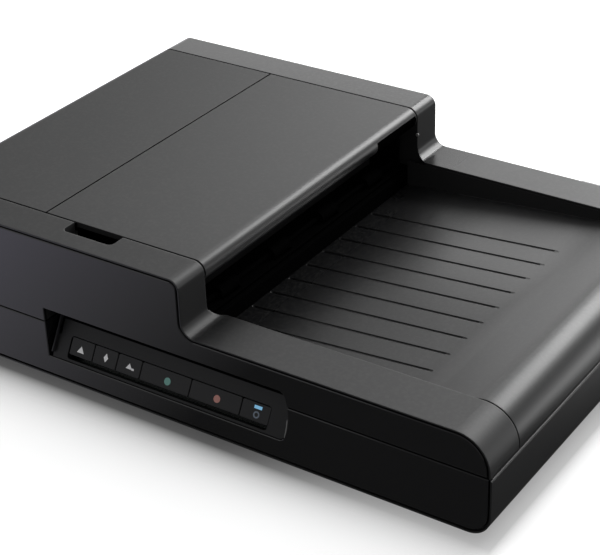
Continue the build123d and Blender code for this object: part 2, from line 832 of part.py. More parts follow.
with BuildPart() as hinge_leaves:
    for x in hinge_places:
        x_low = x - hinge_knuckle / 2
        x_high = x + hinge_knuckle / 2
        beam(*lid_axis, hinge_radius, x_low, x_high)
        block(x_low, x_high, rear, lid_axis[0], lid_axis[1], lid_axis[1] + hinge_radius)
        block(x_low, x_high, rear, rear + hinge_leaf, lid_axis[1],
              lid_axis[1] + hinge_leaf_height)
        beam(*lid_axis, hinge_pin_radius + running_gap, x_low, x_high, Mode.SUBTRACT)
finish(hinge_leaves, "hinge_leaves")

# Lid pan and the white backing under it

pan_front = front + panel_seat + wall + seat_gap
pan_rear = rear - wall - seat_gap
pan_left = left + wall + seat_gap
pan_right = lid_right - wall - seat_gap
grip_rear = front + grip_depth
backing_box = (window_left + pad_margin, window_right - pad_margin,
               window_front + pad_margin, window_rear - pad_margin)
sheet_low = glass_top + pad_gap

with BuildPart() as lid_pan:
    block(pan_left, pan_right, pan_front, pan_rear, lid_bottom, pan_top)
    block(pan_left + wall, pan_right - wall, pan_front + wall, pan_rear - wall, lid_bottom - 1,
          pan_low, Mode.SUBTRACT)
    # pocket over the control panel for the fingers that lift the lid
    block(recess_left - recess_wall, recess_right_middle + recess_wall, pan_front,
          grip_rear + recess_wall, lid_bottom, recess_top + seat_gap + recess_wall)
    slab(recess_outline(-seat_gap), front, grip_rear, Mode.SUBTRACT)
finish(lid_pan, "lid_pan")

with BuildPart() as backing_foam:
    block(*backing_box, sheet_low + pad_sheet, pan_low)
    fillet(backing_foam.edges().filter_by(Axis.Z), pad_margin)
finish(backing_foam, "backing_foam")

with BuildPart() as backing_sheet:
    block(*backing_box, sheet_low, sheet_low + pad_sheet)
    fillet(backing_sheet.edges().filter_by(Axis.Z), pad_margin)
finish(backing_sheet, "backing_sheet")

# Paper path and the places of the rollers on it

path_slope = (guide_exit[1] - guide_bend[1]) / (guide_exit[0] - guide_bend[0])
path_normal = (-path_slope / hypot(path_slope, 1), 1 / hypot(path_slope, 1))


def path_height(x):
    # top of the lower guide's straight run
    return guide_bend[1] + path_slope * (x - guide_bend[0])


def roller_under(x, radius):
    # centre of a driven roller that stands a little above the lower guide
    return (x, path_height(x) + roller_rise - radius)


def roller_over(axis, radius, upper_radius):
    # centre of the roller that faces a driven one across the paper
    reach = radius + roller_gap + upper_radius
    return (axis[0] + path_normal[0] * reach, axis[1] + path_normal[1] * reach)


feed_axis = roller_under(feed_x, feed_radius)
transport_axis = roller_under(transport_x, transport_radius)
eject_axis = roller_under(eject_x, eject_radius)
retard_axis = roller_over(feed_axis, feed_radius, retard_radius)
transport_pinch_axis = roller_over(transport_axis, transport_radius, pinch_radius)
eject_pinch_axis = roller_over(eject_axis, eject_radius, pinch_radius)
tyre_places = [path_y + (i - (tyre_count - 1) / 2) * tyre_spacing for i in range(tyre_count)]

# Gear centres: the idler touches the feed and transport gears, the pinion the transport gear
feed_gear_radius = gear_module * feed_teeth / 2
transport_gear_radius = gear_module * transport_teeth / 2
idler_gear_radius = gear_module * feeder_idler_teeth / 2
pinion_radius = gear_module * pinion_teeth / 2
gear_gap = hypot(transport_axis[0] - feed_axis[0], transport_axis[1] - feed_axis[1])
gear_angle = atan2(transport_axis[1] - feed_axis[1], transport_axis[0] - feed_axis[0])
idler_reach = feed_gear_radius + idler_gear_radius
idler_angle = gear_angle + acos(gear_gap / 2 / idler_reach)
idler_axis = (feed_axis[0] + idler_reach * cos(idler_angle),
              feed_axis[1] + idler_reach * sin(idler_angle))
pinion_reach = transport_gear_radius + pinion_radius
pinion_axis = (transport_axis[0] + pinion_reach * cos(radians(pinion_angle)),
               transport_axis[1] + pinion_reach * sin(radians(pinion_angle)))
gear_rear = gear_y + gear_width

# Top shell: strips beside the covers, the step, the low rims, and the rear and left walls

slot_right = finger_slot_left + finger_slot_length
slot_floor = top - finger_slot_drop
end_wall_top = tray_axis[1] - crown_radius - slide_gap
curtain_front = panel_front - curtain
curtain_rear = panel_rear + curtain
rim_corner_x = step_x + cove_radius

with BuildPart() as top_shell:
    slab(lid_outline(0, lid_bottom), front, rear)
    fillet(top_shell.faces().sort_by(Axis.Y)[-1].edges().filter_by(
        lambda edge: edge.center().Z > lid_bottom + 1), rear_edge)
    slab(lid_outline(wall, lid_bottom - 1), front + panel_seat + wall, rear - wall,
         Mode.SUBTRACT)
    slab(lid_outline(shell_lip, lid_bottom - 1), front - 1, front + panel_seat, Mode.SUBTRACT)
    for y in (curtain_front, panel_rear):
        slab(lid_outline(wall / 2, lid_bottom), y, y + curtain)
    block(left + wall, lid_right - wall, front + panel_seat + wall, rear - wall, lid_bottom - 1,
          pan_top + seat_gap, Mode.SUBTRACT)
    # well behind the finger slot
    block(finger_slot_left - wall, slot_right + wall, panel_front - finger_slot_depth - wall,
          panel_front, slot_floor - wall, skin_low + wall / 2)
    with BuildSketch(Plane.XY.offset(slot_floor)) as well:
        with Locations(((finger_slot_left + slot_right) / 2, panel_front)):
            RectangleRounded(finger_slot_length, finger_slot_depth * 2, finger_slot_radius)
    extrude(well.sketch, amount=finger_slot_drop + 1, mode=Mode.SUBTRACT)
    # openings for the covers, the way out of the paper, and the output tray
    block(left - 1, step_x + 1, panel_front, panel_rear, end_wall_top, top + 1, Mode.SUBTRACT)
    block(eject_x, step_x + 1, panel_front, panel_rear, pan_top, top + 1, Mode.SUBTRACT)
    with BuildSketch(Plane.XY.offset(lid_bottom - 1)) as window:
        with BuildLine():
            Polyline((step_x, panel_front), (rim_corner_x, rim_in_front),
                     (right + 1, rim_in_front), (right + 1, rim_in_rear),
                     (rim_corner_x, rim_in_rear), (step_x, panel_rear), close=True)
        make_face()
    extrude(window.sketch, amount=rim_height, mode=Mode.SUBTRACT)
    slab(recess_open, front - 1, pan_front, Mode.SUBTRACT)
    # bearings of the covers, room for the roller shafts, and the stud of the idler gear
    for axis in (tray_axis, feeder_axis):
        bar(*axis, cover_pin_radius + running_gap, curtain_front, curtain_rear, Mode.SUBTRACT)
    for axis in (feed_axis, transport_axis, eject_axis):
        bar(*axis, shaft_radius + shaft_room, curtain_front, curtain_rear, Mode.SUBTRACT)
    bar(*idler_axis, idler_shaft_radius, panel_rear, gear_rear + seat_gap)
finish(top_shell, "top_shell")

with BuildPart() as lid_fascia:
    slab(lid_outline(shell_lip + shadow_gap, lid_bottom), front, front + front_plate)
    slab(recess_open, front - 1, rear, Mode.SUBTRACT)
    chamfer(lid_fascia.faces().sort_by(Axis.Y)[0].edges(), fascia_edge)
finish(lid_fascia, "lid_fascia")

# Output tray: grooved floor, ramp, and the roll over the right end

tray_plate = tray_floor_low - pan_top - seat_gap
tray_front = rim_in_front - tray_side
tray_rear = rim_in_rear + tray_side
tray_roof = rim_height - wall - seat_gap
floor_angle = atan2(tray_floor_high - tray_floor_low, ramp_start_x - tray_start_x)
floor_plane = Plane(origin=(tray_start_x, groove_middle, tray_floor_low),
                    x_dir=(cos(floor_angle), 0, sin(floor_angle)),
                    z_dir=(-sin(floor_angle), 0, cos(floor_angle)))
groove_length = groove_end_x - tray_start_x - groove_start

with BuildPart() as output_tray:
    with BuildSketch(across(tray_rear)) as tray_section:
        with BuildLine() as tray_line:
            Polyline((tray_start_x, tray_floor_low), (ramp_start_x, tray_floor_high),
                     (ramp_end_x, rim_height), (lid_right, rim_height), (lid_right, lid_bottom))
            fillet(corner(tray_line, ramp_start_x, tray_floor_high), ramp_foot_radius)
            fillet(corner(tray_line, ramp_end_x, rim_height), ramp_crest_radius)
            fillet(corner(tray_line, lid_right, rim_height), roll_radius)
            offset(amount=tray_plate, side=Side.RIGHT)
        make_face()
    extrude(tray_section.sketch, amount=tray_rear - tray_front)
    for y_low, y_high in ((tray_front, rim_in_front), (rim_in_rear, tray_rear)):
        block(tray_start_x, ramp_wide_x, y_low, y_high, pan_top, tray_roof)
    for y_low, y_high in ((tray_front, rim_in_front + tray_seam),
                          (rim_in_rear - tray_seam, tray_rear)):
        block(ramp_wide_x, right, y_low, y_high, lid_bottom - 1, top, Mode.SUBTRACT)
    with BuildSketch(floor_plane) as grooves:
        with Locations((groove_start + groove_length / 2, 0)):
            with GridLocations(1, groove_pitch, 1, groove_count):
                SlotOverall(groove_length, groove_width)
    extrude(grooves.sketch, amount=-groove_depth, mode=Mode.SUBTRACT)
finish(output_tray, "output_tray")

# Feeder frame: the lower paper guide between two side plates

frame_inner = (side_front + side_plate, side_rear - side_plate)


def tyre_windows(axis, radius, depth):
    # holes in a guide plate where the tyres of a roller reach through
    half = sqrt(2 * radius * depth - depth ** 2) + tyre_room
    for y in tyre_places:
        block(axis[0] - half, axis[0] + half, y - tyre_length / 2 - tyre_room,
              y + tyre_length / 2 + tyre_room, pan_top, end_wall_top, Mode.SUBTRACT)


with BuildPart() as feeder_frame:
    with BuildSketch(across(side_rear)) as guide_section:
        with BuildLine():
            Polyline(guide_start, guide_crest, guide_bend, guide_exit, (guide_exit[0], pan_top))
            offset(amount=guide_plate, side=Side.RIGHT)
        make_face()
    extrude(guide_section.sketch, amount=side_rear - side_front)
    for axis, radius in ((feed_axis, feed_radius), (transport_axis, transport_radius),
                         (eject_axis, eject_radius)):
        tyre_windows(axis, radius, roller_rise + guide_plate + tyre_room)
    block(lower_sensor_x - sensor_width / 2 - slide_gap,
          lower_sensor_x + sensor_width / 2 + slide_gap,
          path_y - sensor_length / 2 - slide_gap, path_y + sensor_length / 2 + slide_gap,
          pan_top, end_wall_top, Mode.SUBTRACT)
    with BuildSketch() as plate_outline:
        with BuildLine():
            Polyline((guide_start[0], pan_top), guide_start, guide_crest,
                     (guide_bend[0], guide_bend[1] + side_plate_rise),
                     (guide_exit[0], guide_exit[1] + side_plate_rise),
                     (guide_exit[0], pan_top), close=True)
        make_face()
    slab(plate_outline.sketch, side_front, frame_inner[0])
    slab(plate_outline.sketch, frame_inner[1], side_rear)
    for axis in (feed_axis, transport_axis, eject_axis):
        bar(*axis, shaft_radius + running_gap, side_front, side_rear, Mode.SUBTRACT)
finish(feeder_frame, "feeder_frame")

# Driven rollers: steel shafts with rubber tyres

driven_rollers = {
    "feed": (feed_axis, feed_radius, side_front - slide_gap, gear_rear + seat_gap, 0),
    "transport": (transport_axis, transport_radius, pulley_y - seat_gap, gear_rear + seat_gap,
                  transport_pulley_radius),
    "eject": (eject_axis, eject_radius, pulley_y - seat_gap, side_rear + slide_gap,
              eject_pulley_radius),
}

for name, (axis, radius, y_low, y_high, pulley) in driven_rollers.items():
    with BuildPart() as shaft:
        bar(*axis, shaft_radius, y_low, y_high)
        if pulley:
            bar(*axis, pulley, pulley_y, pulley_y + eject_belt_width)
    finish(shaft, f"{name}_shaft")
    with BuildPart() as tyres:
        for y in tyre_places:
            bar(*axis, radius, y - tyre_length / 2, y + tyre_length / 2)
            bar(*axis, shaft_radius, y - tyre_length / 2, y + tyre_length / 2, Mode.SUBTRACT)
    finish(tyres, f"{name}_tyres")


def belt_loop(margin):
    with BuildSketch() as loop:
        with Locations(transport_axis):
            Circle(transport_pulley_radius + margin)
        with Locations(eject_axis):
            Circle(eject_pulley_radius + margin)
        make_hull()
    return loop.sketch


with BuildPart() as eject_belt:
    slab(belt_loop(belt_play + eject_belt_thickness), pulley_y, pulley_y + eject_belt_width)
    slab(belt_loop(belt_play), pulley_y, pulley_y + eject_belt_width, Mode.SUBTRACT)
finish(eject_belt, "eject_belt")

# Gear train at the rear ends of the shafts, and the motor that drives it


def gear_profile(centre, teeth, phase):
    # spur gear with straight-sided teeth, one of them at the angle phase
    radius = gear_module * teeth / 2
    outline = []
    for i in range(teeth):
        for reach, share in ((-tooth_foot, -tooth_foot_share), (1, -tooth_tip_share),
                             (1, tooth_tip_share), (-tooth_foot, tooth_foot_share)):
            angle = phase + (i + share) * 2 * pi / teeth
            outline.append((centre[0] + (radius + reach * gear_module) * cos(angle),
                            centre[1] + (radius + reach * gear_module) * sin(angle)))
    with BuildSketch() as profile:
        with BuildLine():
            Polyline(*outline, close=True)
        make_face()
    return profile.sketch


def meshing(phase, place, teeth, next_place, next_teeth):
    # phase that lets the next gear's teeth fall between this gear's teeth
    way = atan2(next_place[1] - place[1], next_place[0] - place[0])
    return way + pi - (phase - way) * teeth / next_teeth + pi / next_teeth


idler_phase = meshing(0, transport_axis, transport_teeth, idler_axis, feeder_idler_teeth)
feed_phase = meshing(idler_phase, idler_axis, feeder_idler_teeth, feed_axis, feed_teeth)
pinion_phase = meshing(0, transport_axis, transport_teeth, pinion_axis, pinion_teeth)

feeder_gears = {
    "feed_gear": (feed_axis, feed_teeth, feed_phase, shaft_radius),
    "transport_gear": (transport_axis, transport_teeth, 0, shaft_radius),
    "feeder_idler_gear": (idler_axis, feeder_idler_teeth, idler_phase,
                          idler_shaft_radius + running_gap),
}

for name, (axis, teeth, phase, bore) in feeder_gears.items():
    with BuildPart() as gear:
        slab(gear_profile(axis, teeth, phase), gear_y, gear_rear)
        bar(*axis, bore, gear_y, gear_rear, Mode.SUBTRACT)
    finish(gear, name)

motor_face = gear_rear + motor_gap

with BuildPart() as motor_pinion:
    slab(gear_profile(pinion_axis, pinion_teeth, pinion_phase), gear_y, gear_rear)
    bar(*pinion_axis, motor_shaft_radius, gear_rear, rear - wall * 2)
finish(motor_pinion, "motor_pinion")

with BuildPart() as feeder_motor:
    bar(*pinion_axis, feeder_motor_radius, motor_face, rear - wall)
    chamfer(feeder_motor.faces().sort_by(Axis.Y)[0].edges(), button_edge)
    bar(*pinion_axis, motor_shaft_radius + running_gap, motor_face, rear - wall * 1.5,
        Mode.SUBTRACT)
finish(feeder_motor, "feeder_motor")

# Image sensors, one facing up under the paper and one facing down above it


def image_sensor(x, z_low, lug_reach):
    # glass-topped bar with a lug at each end
    block(x - sensor_width / 2, x + sensor_width / 2, path_y - sensor_length / 2,
          path_y + sensor_length / 2, z_low, z_low + sensor_height)
    middle = z_low + sensor_height / 2
    block(x - sensor_lug, x + sensor_lug, path_y - lug_reach, path_y + lug_reach,
          middle - sensor_lug / 2, middle + sensor_lug / 2)


upper_plate_low = path_height(upper_sensor_x) + path_gap

with BuildPart() as lower_sensor:
    image_sensor(lower_sensor_x, path_height(lower_sensor_x + sensor_width / 2) - sensor_height,
                 frame_inner[1] - path_y)
finish(lower_sensor, "lower_sensor")

with BuildPart() as upper_sensor:
    image_sensor(upper_sensor_x, upper_plate_low + seat_gap * 4, upper_half)
finish(upper_sensor, "upper_sensor")

# Upper paper guide, which swings up with the feeder cover, and its free rollers

with BuildPart() as upper_guide:
    with BuildSketch(across(path_y + upper_half + upper_plate)) as guide_section:
        with BuildLine():
            Line((upper_left, path_height(upper_left) + path_gap),
                 (upper_right, path_height(upper_right) + path_gap))
            offset(amount=upper_plate, side=Side.LEFT)
        make_face()
    extrude(guide_section.sketch, amount=(upper_half + upper_plate) * 2)
    for axis, radius in ((retard_axis, retard_radius), (transport_pinch_axis, pinch_radius),
                         (eject_pinch_axis, pinch_radius)):
        tyre_windows(axis, radius, path_gap + upper_plate)
    block(upper_sensor_x - sensor_width / 2 - slide_gap,
          upper_sensor_x + sensor_width / 2 + slide_gap, path_y - sensor_length / 2 - slide_gap,
          path_y + sensor_length / 2 + slide_gap, pan_top, end_wall_top, Mode.SUBTRACT)
    # side plates up to the skin of the cover, and ears for the retard roller
    for y_low, y_high in span_pair(upper_half, upper_plate):
        with BuildSketch() as plate_outline:
            with BuildLine():
                Polyline((upper_plate_left, path_height(upper_plate_left) + path_gap),
                         (upper_right - upper_plate, path_height(upper_right) + path_gap),
                         (upper_right - upper_plate, skin_low), (upper_plate_left, skin_low),
                         close=True)
            make_face()
        slab(plate_outline.sketch, y_low, y_high)
        for axis in (transport_pinch_axis, eject_pinch_axis):
            bar(*axis, idler_shaft_radius + running_gap, y_low, y_high, Mode.SUBTRACT)
    for y_low, y_high in span_pair(retard_half, upper_plate):
        block(retard_axis[0] - ear_half, retard_axis[0] + ear_half, y_low, y_high,
              path_height(retard_axis[0]) + path_gap + upper_plate / 2, retard_axis[1] + ear_half)
        bar(*retard_axis, idler_shaft_radius + running_gap, y_low, y_high, Mode.SUBTRACT)
finish(upper_guide, "upper_guide")

free_rollers = {
    "retard_roller": (retard_axis, retard_radius, retard_half, tyre_places[1:-1]),
    "transport_pinch": (transport_pinch_axis, pinch_radius, upper_half, tyre_places),
    "eject_pinch": (eject_pinch_axis, pinch_radius, upper_half, tyre_places),
}

for name, (axis, radius, half, places) in free_rollers.items():
    with BuildPart() as roller:
        bar(*axis, idler_shaft_radius, path_y - half - upper_plate, path_y + half + upper_plate)
        for y in places:
            bar(*axis, radius, y - tyre_length / 2, y + tyre_length / 2)
    finish(roller, name)

# The two covers: feeder cover on the right, feed tray on the left


def cover_profile(axis, seam):
    # front view of a cover: flat skin from the seam to a bullnose round its pivot
    side = 1 if axis[0] > seam else -1
    outer, inner = [[(axis[0] + side * radius * cos(radians(angle)),
                      axis[1] + radius * sin(radians(angle)))
                     for angle in (90, 45 - lip_angle / 2, -lip_angle)]
                    for radius in (crown_radius, crown_radius - cover_skin)]
    with BuildSketch() as profile:
        with BuildLine():
            ThreePointArc(*outer)
            ThreePointArc(*inner)
            Line(outer[2], inner[2])
            Polyline(outer[0], (seam, top), (seam, skin_low), inner[0])
        make_face()
    return profile.sketch


def cover_body(axis, seam, flange_low):
    # skin with an upright flange and a stub pin at each end
    slab(cover_profile(axis, seam), cover_front, cover_rear)
    for y, inward in ((cover_front, flange), (cover_rear, -flange)):
        y_low, y_high = span(y, y + inward)
        block(*span(axis[0], seam), y_low, y_high, flange_low, skin_low + cover_skin / 2)
        bar(*axis, crown_radius, y_low, y_high)
        y_low, y_high = span(y, y - copysign(cover_gap + curtain - seat_gap, inward))
        bar(*axis, cover_pin_radius, y_low, y_high)


cover_front = panel_front + cover_gap
cover_rear = panel_rear - cover_gap

with BuildPart() as feeder_cover:
    cover_body(feeder_axis, tray_seam_x + seam_half, cover_flange_low)
    block(finger_slot_left - 1, slot_right + 1, cover_front - 1, cover_front + flange,
          cover_flange_low - 1, skin_low - flange, Mode.SUBTRACT)
finish(feeder_cover, "feeder_cover")

with BuildPart() as feed_tray:
    cover_body(tray_axis, tray_seam_x - seam_half, tray_flange_low)
finish(feed_tray, "feed_tray")

# Inside the feed tray: liner, sliding extension, and document guides with rack and pinion

liner_right = tray_seam_x - liner_end_gap
extension_high = skin_low - slide_gap - seat_gap
extension_low = extension_high - extension_thickness
rack_high = extension_low - slide_gap * 3
rack_low = rack_high - rack_thickness
liner_high = rack_low - slide_gap
liner_low = liner_high - liner_plate
foot_high = liner_low - slide_gap
foot_low = foot_high - guide_foot
guide_pinion_radius = gear_module * guide_pinion_teeth / 2
rail_inner = extension_width / 2 + slide_gap


def rack_span(side):
    # X of the roots and the back of the rack on the guide at this side
    roots = guide_pinion_x - side * (guide_pinion_radius + rack_play + tooth_foot * gear_module)
    return roots, roots - side * rack_width


with BuildPart() as tray_liner:
    block(liner_left, liner_right, cover_front + flange, cover_rear - flange, liner_low,
          liner_high)
    post(guide_pinion_x, path_y, idler_shaft_radius, liner_low, rack_high + slide_gap)
    # rails that carry the extension, left open where the racks pass
    for x_low, x_high in ((extension_left, rack_span(1)[1] - slide_gap * 4),
                          (rack_span(-1)[1] + slide_gap * 4, liner_right)):
        for y_low, y_high in span_pair(rail_inner, rail_wall):
            block(x_low, x_high, y_low, y_high, liner_high - 1, skin_low)
        for y_low, y_high in span_pair(rail_inner - rail_ledge, rail_ledge + rail_wall / 2):
            block(x_low, x_high, y_low, y_high, liner_high - 1, extension_low - slide_gap)
    # slots along which the document guides travel
    for side in (-1, 1):
        x_low, x_high = span(*rack_span(side))
        edge = path_y + side * (document_width / 2 + guide_wall + slide_gap)
        block(x_low - slide_gap, x_high + slide_gap,
              *span(edge, edge - side * (guide_travel + rack_foot + slide_gap * 2)),
              liner_low - 1, liner_high + 1, Mode.SUBTRACT)
finish(tray_liner, "tray_liner")

with BuildPart() as tray_extension:
    block(extension_left, liner_right, path_y - extension_width / 2,
          path_y + extension_width / 2, extension_low, extension_high)
    fillet(tray_extension.edges().filter_by(Axis.Z).group_by(Axis.X)[-1],
           extension_corner)
    with BuildSketch(Plane.XY.offset(extension_low)) as pull:
        with Locations((liner_right - pull_inset, path_y)):
            SlotOverall(*pull_size, rotation=90)
    extrude(pull.sketch, amount=extension_thickness, mode=Mode.SUBTRACT)
finish(tray_extension, "tray_extension")

with BuildPart() as guide_pinion:
    with BuildSketch(Plane.XY.offset(rack_low)) as section:
        add(gear_profile((guide_pinion_x, path_y), guide_pinion_teeth,
                         pi / guide_pinion_teeth))
    extrude(section.sketch, amount=rack_thickness)
    post(guide_pinion_x, path_y, idler_shaft_radius + running_gap, rack_low, rack_high,
         Mode.SUBTRACT)
finish(guide_pinion, "guide_pinion")


def document_guide(side):
    # upright, foot, and a rack that reaches past the pinion; side is -1 in front, 1 behind
    inner = path_y + side * document_width / 2
    outer = inner + side * guide_wall
    x_low = guide_pinion_x - guide_length / 2
    x_high = guide_pinion_x + guide_length / 2
    block(x_low, x_high, *span(inner, outer), foot_low - guide_drop, foot_high)
    block(x_low, x_high, *span(outer, outer - side * rack_foot), foot_low, foot_high)
    roots, back = rack_span(side)
    block(*span(roots, back), *span(outer, outer - side * rack_foot), foot_low, rack_high)
    block(*span(roots, back), *span(outer, path_y - side * rack_reach), rack_low, rack_high)
    pitch = pi * gear_module
    with BuildSketch(Plane.XY.offset(rack_low)) as teeth:
        for i in range(round((guide_travel + rack_reach) / pitch)):
            y = path_y + side * pitch * (i - 1)
            outline = [(roots + side * reach * gear_module, y + share * pitch)
                       for reach, share in ((0, -tooth_foot_share),
                                            (1 + tooth_foot, -tooth_tip_share),
                                            (1 + tooth_foot, tooth_tip_share),
                                            (0, tooth_foot_share))]
            with BuildLine():
                Polyline(*outline, close=True)
            make_face()
    extrude(teeth.sketch, amount=rack_thickness)


with BuildPart() as guide_front:
    document_guide(-1)
finish(guide_front, "guide_front")

with BuildPart() as guide_rear:
    document_guide(1)
finish(guide_rear, "guide_rear")
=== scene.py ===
import bpy
import json
from math import radians, sin, cos, pi
from mathutils import Matrix, Vector

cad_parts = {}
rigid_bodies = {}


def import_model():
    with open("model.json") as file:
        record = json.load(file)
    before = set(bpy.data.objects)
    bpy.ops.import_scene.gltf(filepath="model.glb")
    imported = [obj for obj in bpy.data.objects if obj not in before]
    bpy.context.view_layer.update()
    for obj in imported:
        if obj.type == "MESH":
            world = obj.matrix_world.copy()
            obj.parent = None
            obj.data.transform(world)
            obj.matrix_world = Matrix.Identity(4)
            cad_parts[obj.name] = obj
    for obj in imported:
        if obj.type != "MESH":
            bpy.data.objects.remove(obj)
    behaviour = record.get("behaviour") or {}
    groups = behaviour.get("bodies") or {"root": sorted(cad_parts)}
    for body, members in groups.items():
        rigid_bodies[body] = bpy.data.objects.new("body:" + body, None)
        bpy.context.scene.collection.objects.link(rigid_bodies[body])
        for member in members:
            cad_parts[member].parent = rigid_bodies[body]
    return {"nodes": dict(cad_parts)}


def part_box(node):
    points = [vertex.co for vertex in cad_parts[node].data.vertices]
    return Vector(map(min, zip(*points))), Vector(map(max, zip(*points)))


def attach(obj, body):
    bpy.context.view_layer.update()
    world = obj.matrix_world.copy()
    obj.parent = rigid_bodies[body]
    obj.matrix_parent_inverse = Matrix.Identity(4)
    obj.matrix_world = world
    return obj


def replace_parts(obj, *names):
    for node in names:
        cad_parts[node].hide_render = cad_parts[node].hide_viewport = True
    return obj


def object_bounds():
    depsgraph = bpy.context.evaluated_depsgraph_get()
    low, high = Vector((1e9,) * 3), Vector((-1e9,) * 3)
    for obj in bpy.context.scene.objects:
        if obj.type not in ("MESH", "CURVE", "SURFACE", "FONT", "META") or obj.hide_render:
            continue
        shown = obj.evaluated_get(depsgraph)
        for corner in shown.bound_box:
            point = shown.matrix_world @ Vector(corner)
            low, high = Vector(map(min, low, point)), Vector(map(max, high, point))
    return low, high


# Document scanner with a sheet feeder in its lid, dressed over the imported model.
# Metres, X to the right, Y to the rear, Z up.

for spare in list(bpy.data.objects):  # a new file may hold a cube, a lamp and a camera
    bpy.data.objects.remove(spare)
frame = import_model()
modelBox = [list(map(float, corner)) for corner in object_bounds()]
nodes = frame["nodes"]
scene = bpy.context.scene
scene.view_settings.view_transform = "Standard"
print("frame loaded:", len(nodes), "nodes")

# Camera, at the angle of the photograph

cameraView = {"place": (0.60442, -0.89183, 0.66706), "azimuth": 34.142, "elevation": 30.768,
              "roll": -1.7185, "sensor": 36, "lens": 102.746, "shift": (-0.02738, 0.02073),
              "reach": 50}


def placeCamera(view):
    a, e, r = (radians(view[key]) for key in ("azimuth", "elevation", "roll"))
    back = Vector((sin(a) * cos(e), -cos(a) * cos(e), sin(e)))
    right = (-back).cross(Vector((0, 0, 1))).normalized()
    up = right.cross(-back)
    across = right * cos(r) + up * sin(r)
    upright = up * cos(r) - right * sin(r)
    turn = Matrix((across, upright, back)).transposed().to_4x4()
    data = bpy.data.cameras.new("photoCamera")
    data.lens = view["lens"]
    data.sensor_width = view["sensor"]
    data.shift_x, data.shift_y = view["shift"]
    data.clip_end = view["reach"]
    camera = bpy.data.objects.new("photoCamera", data)
    camera.matrix_world = Matrix.Translation(view["place"]) @ turn
    scene.collection.objects.link(camera)
    scene.camera = camera


placeCamera(cameraView)
print("camera placed")

# Node helpers. A ramp in a dictionary is (fromLow, fromHigh, toLow, toHigh).


def addNode(tree, kind, **settings):
    node = tree.nodes.new(kind)
    for name, value in settings.items():
        setattr(node, name, value)
    return node


def setSockets(node, **values):
    # an underscore in a name stands for the space in the socket's name
    for name, value in values.items():
        node.inputs[name.replace("_", " ")].default_value = value
    return node


def rampNode(tree, value, fromLow, fromHigh, toLow, toHigh, smooth=False):
    # value is a socket; gives the output socket of a Map Range node
    kind = "SMOOTHSTEP" if smooth else "LINEAR"
    node = setSockets(addNode(tree, "ShaderNodeMapRange", interpolation_type=kind),
                      From_Min=fromLow, From_Max=fromHigh, To_Min=toLow, To_Max=toHigh)
    tree.links.new(value, node.inputs["Value"])
    return node.outputs["Result"]


def mathNode(tree, operation, first, second, clamp=False):
    # first and second are a socket or a number
    node = addNode(tree, "ShaderNodeMath", operation=operation, use_clamp=clamp)
    for slot, value in enumerate((first, second)):
        if isinstance(value, (int, float)):
            node.inputs[slot].default_value = value
        else:
            tree.links.new(value, node.inputs[slot])
    return node.outputs[0]


def product(tree, first, *others):
    for other in others:
        first = mathNode(tree, "MULTIPLY", first, other)
    return first


def largest(tree, first, *others):
    for other in others:
        first = mathNode(tree, "MAXIMUM", first, other)
    return first


def vectorNode(tree, operation, first, second=None):
    # first and second are a socket or a vector
    node = addNode(tree, "ShaderNodeVectorMath", operation=operation)
    for slot, value in enumerate((first, second)):
        if isinstance(value, tuple):
            node.inputs[slot].default_value = value
        elif value is not None:
            tree.links.new(value, node.inputs[slot])
    return node.outputs["Value" if operation in ("LENGTH", "DOT_PRODUCT") else "Vector"]


def scaleColour(tree, colour, factor):
    node = addNode(tree, "ShaderNodeVectorMath", operation="SCALE")
    node.inputs[0].default_value = colour
    tree.links.new(factor, node.inputs["Scale"])
    return node.outputs[0]


def blendColour(tree, share, first, second):
    # first and second are a socket or a colour; share is a socket
    mix = addNode(tree, "ShaderNodeMix", data_type="RGBA")
    tree.links.new(share, mix.inputs[0])
    for socket, value in ((mix.inputs[6], first), (mix.inputs[7], second)):
        if isinstance(value, tuple):
            socket.default_value = (*value, 1)
        else:
            tree.links.new(value, socket)
    return mix.outputs[2]


def objectPlace(tree):
    return addNode(tree, "ShaderNodeTexCoord").outputs["Object"]


def splitParts(tree, vector):
    # the sockets of X, Y and Z
    part = addNode(tree, "ShaderNodeSeparateXYZ")
    tree.links.new(vector, part.inputs[0])
    return [part.outputs[axis] for axis in "XYZ"]


def noiseNode(tree, scale, detail=2, place=None):
    noise = setSockets(addNode(tree, "ShaderNodeTexNoise"), Scale=scale, Detail=detail)
    tree.links.new(objectPlace(tree) if place is None else place, noise.inputs["Vector"])
    return noise


def raiseBump(tree, skin, height, strength, distance):
    bump = setSockets(addNode(tree, "ShaderNodeBump"), Strength=strength, Distance=distance)
    tree.links.new(height, bump.inputs["Height"])
    tree.links.new(bump.outputs["Normal"], skin.inputs["Normal"])
    return bump


def startMaterial(name):
    material = bpy.data.materials.new(name)
    material.use_nodes = True
    return material, material.node_tree, material.node_tree.nodes["Principled BSDF"]


# Room: a pale floor, a white surround and soft lamps

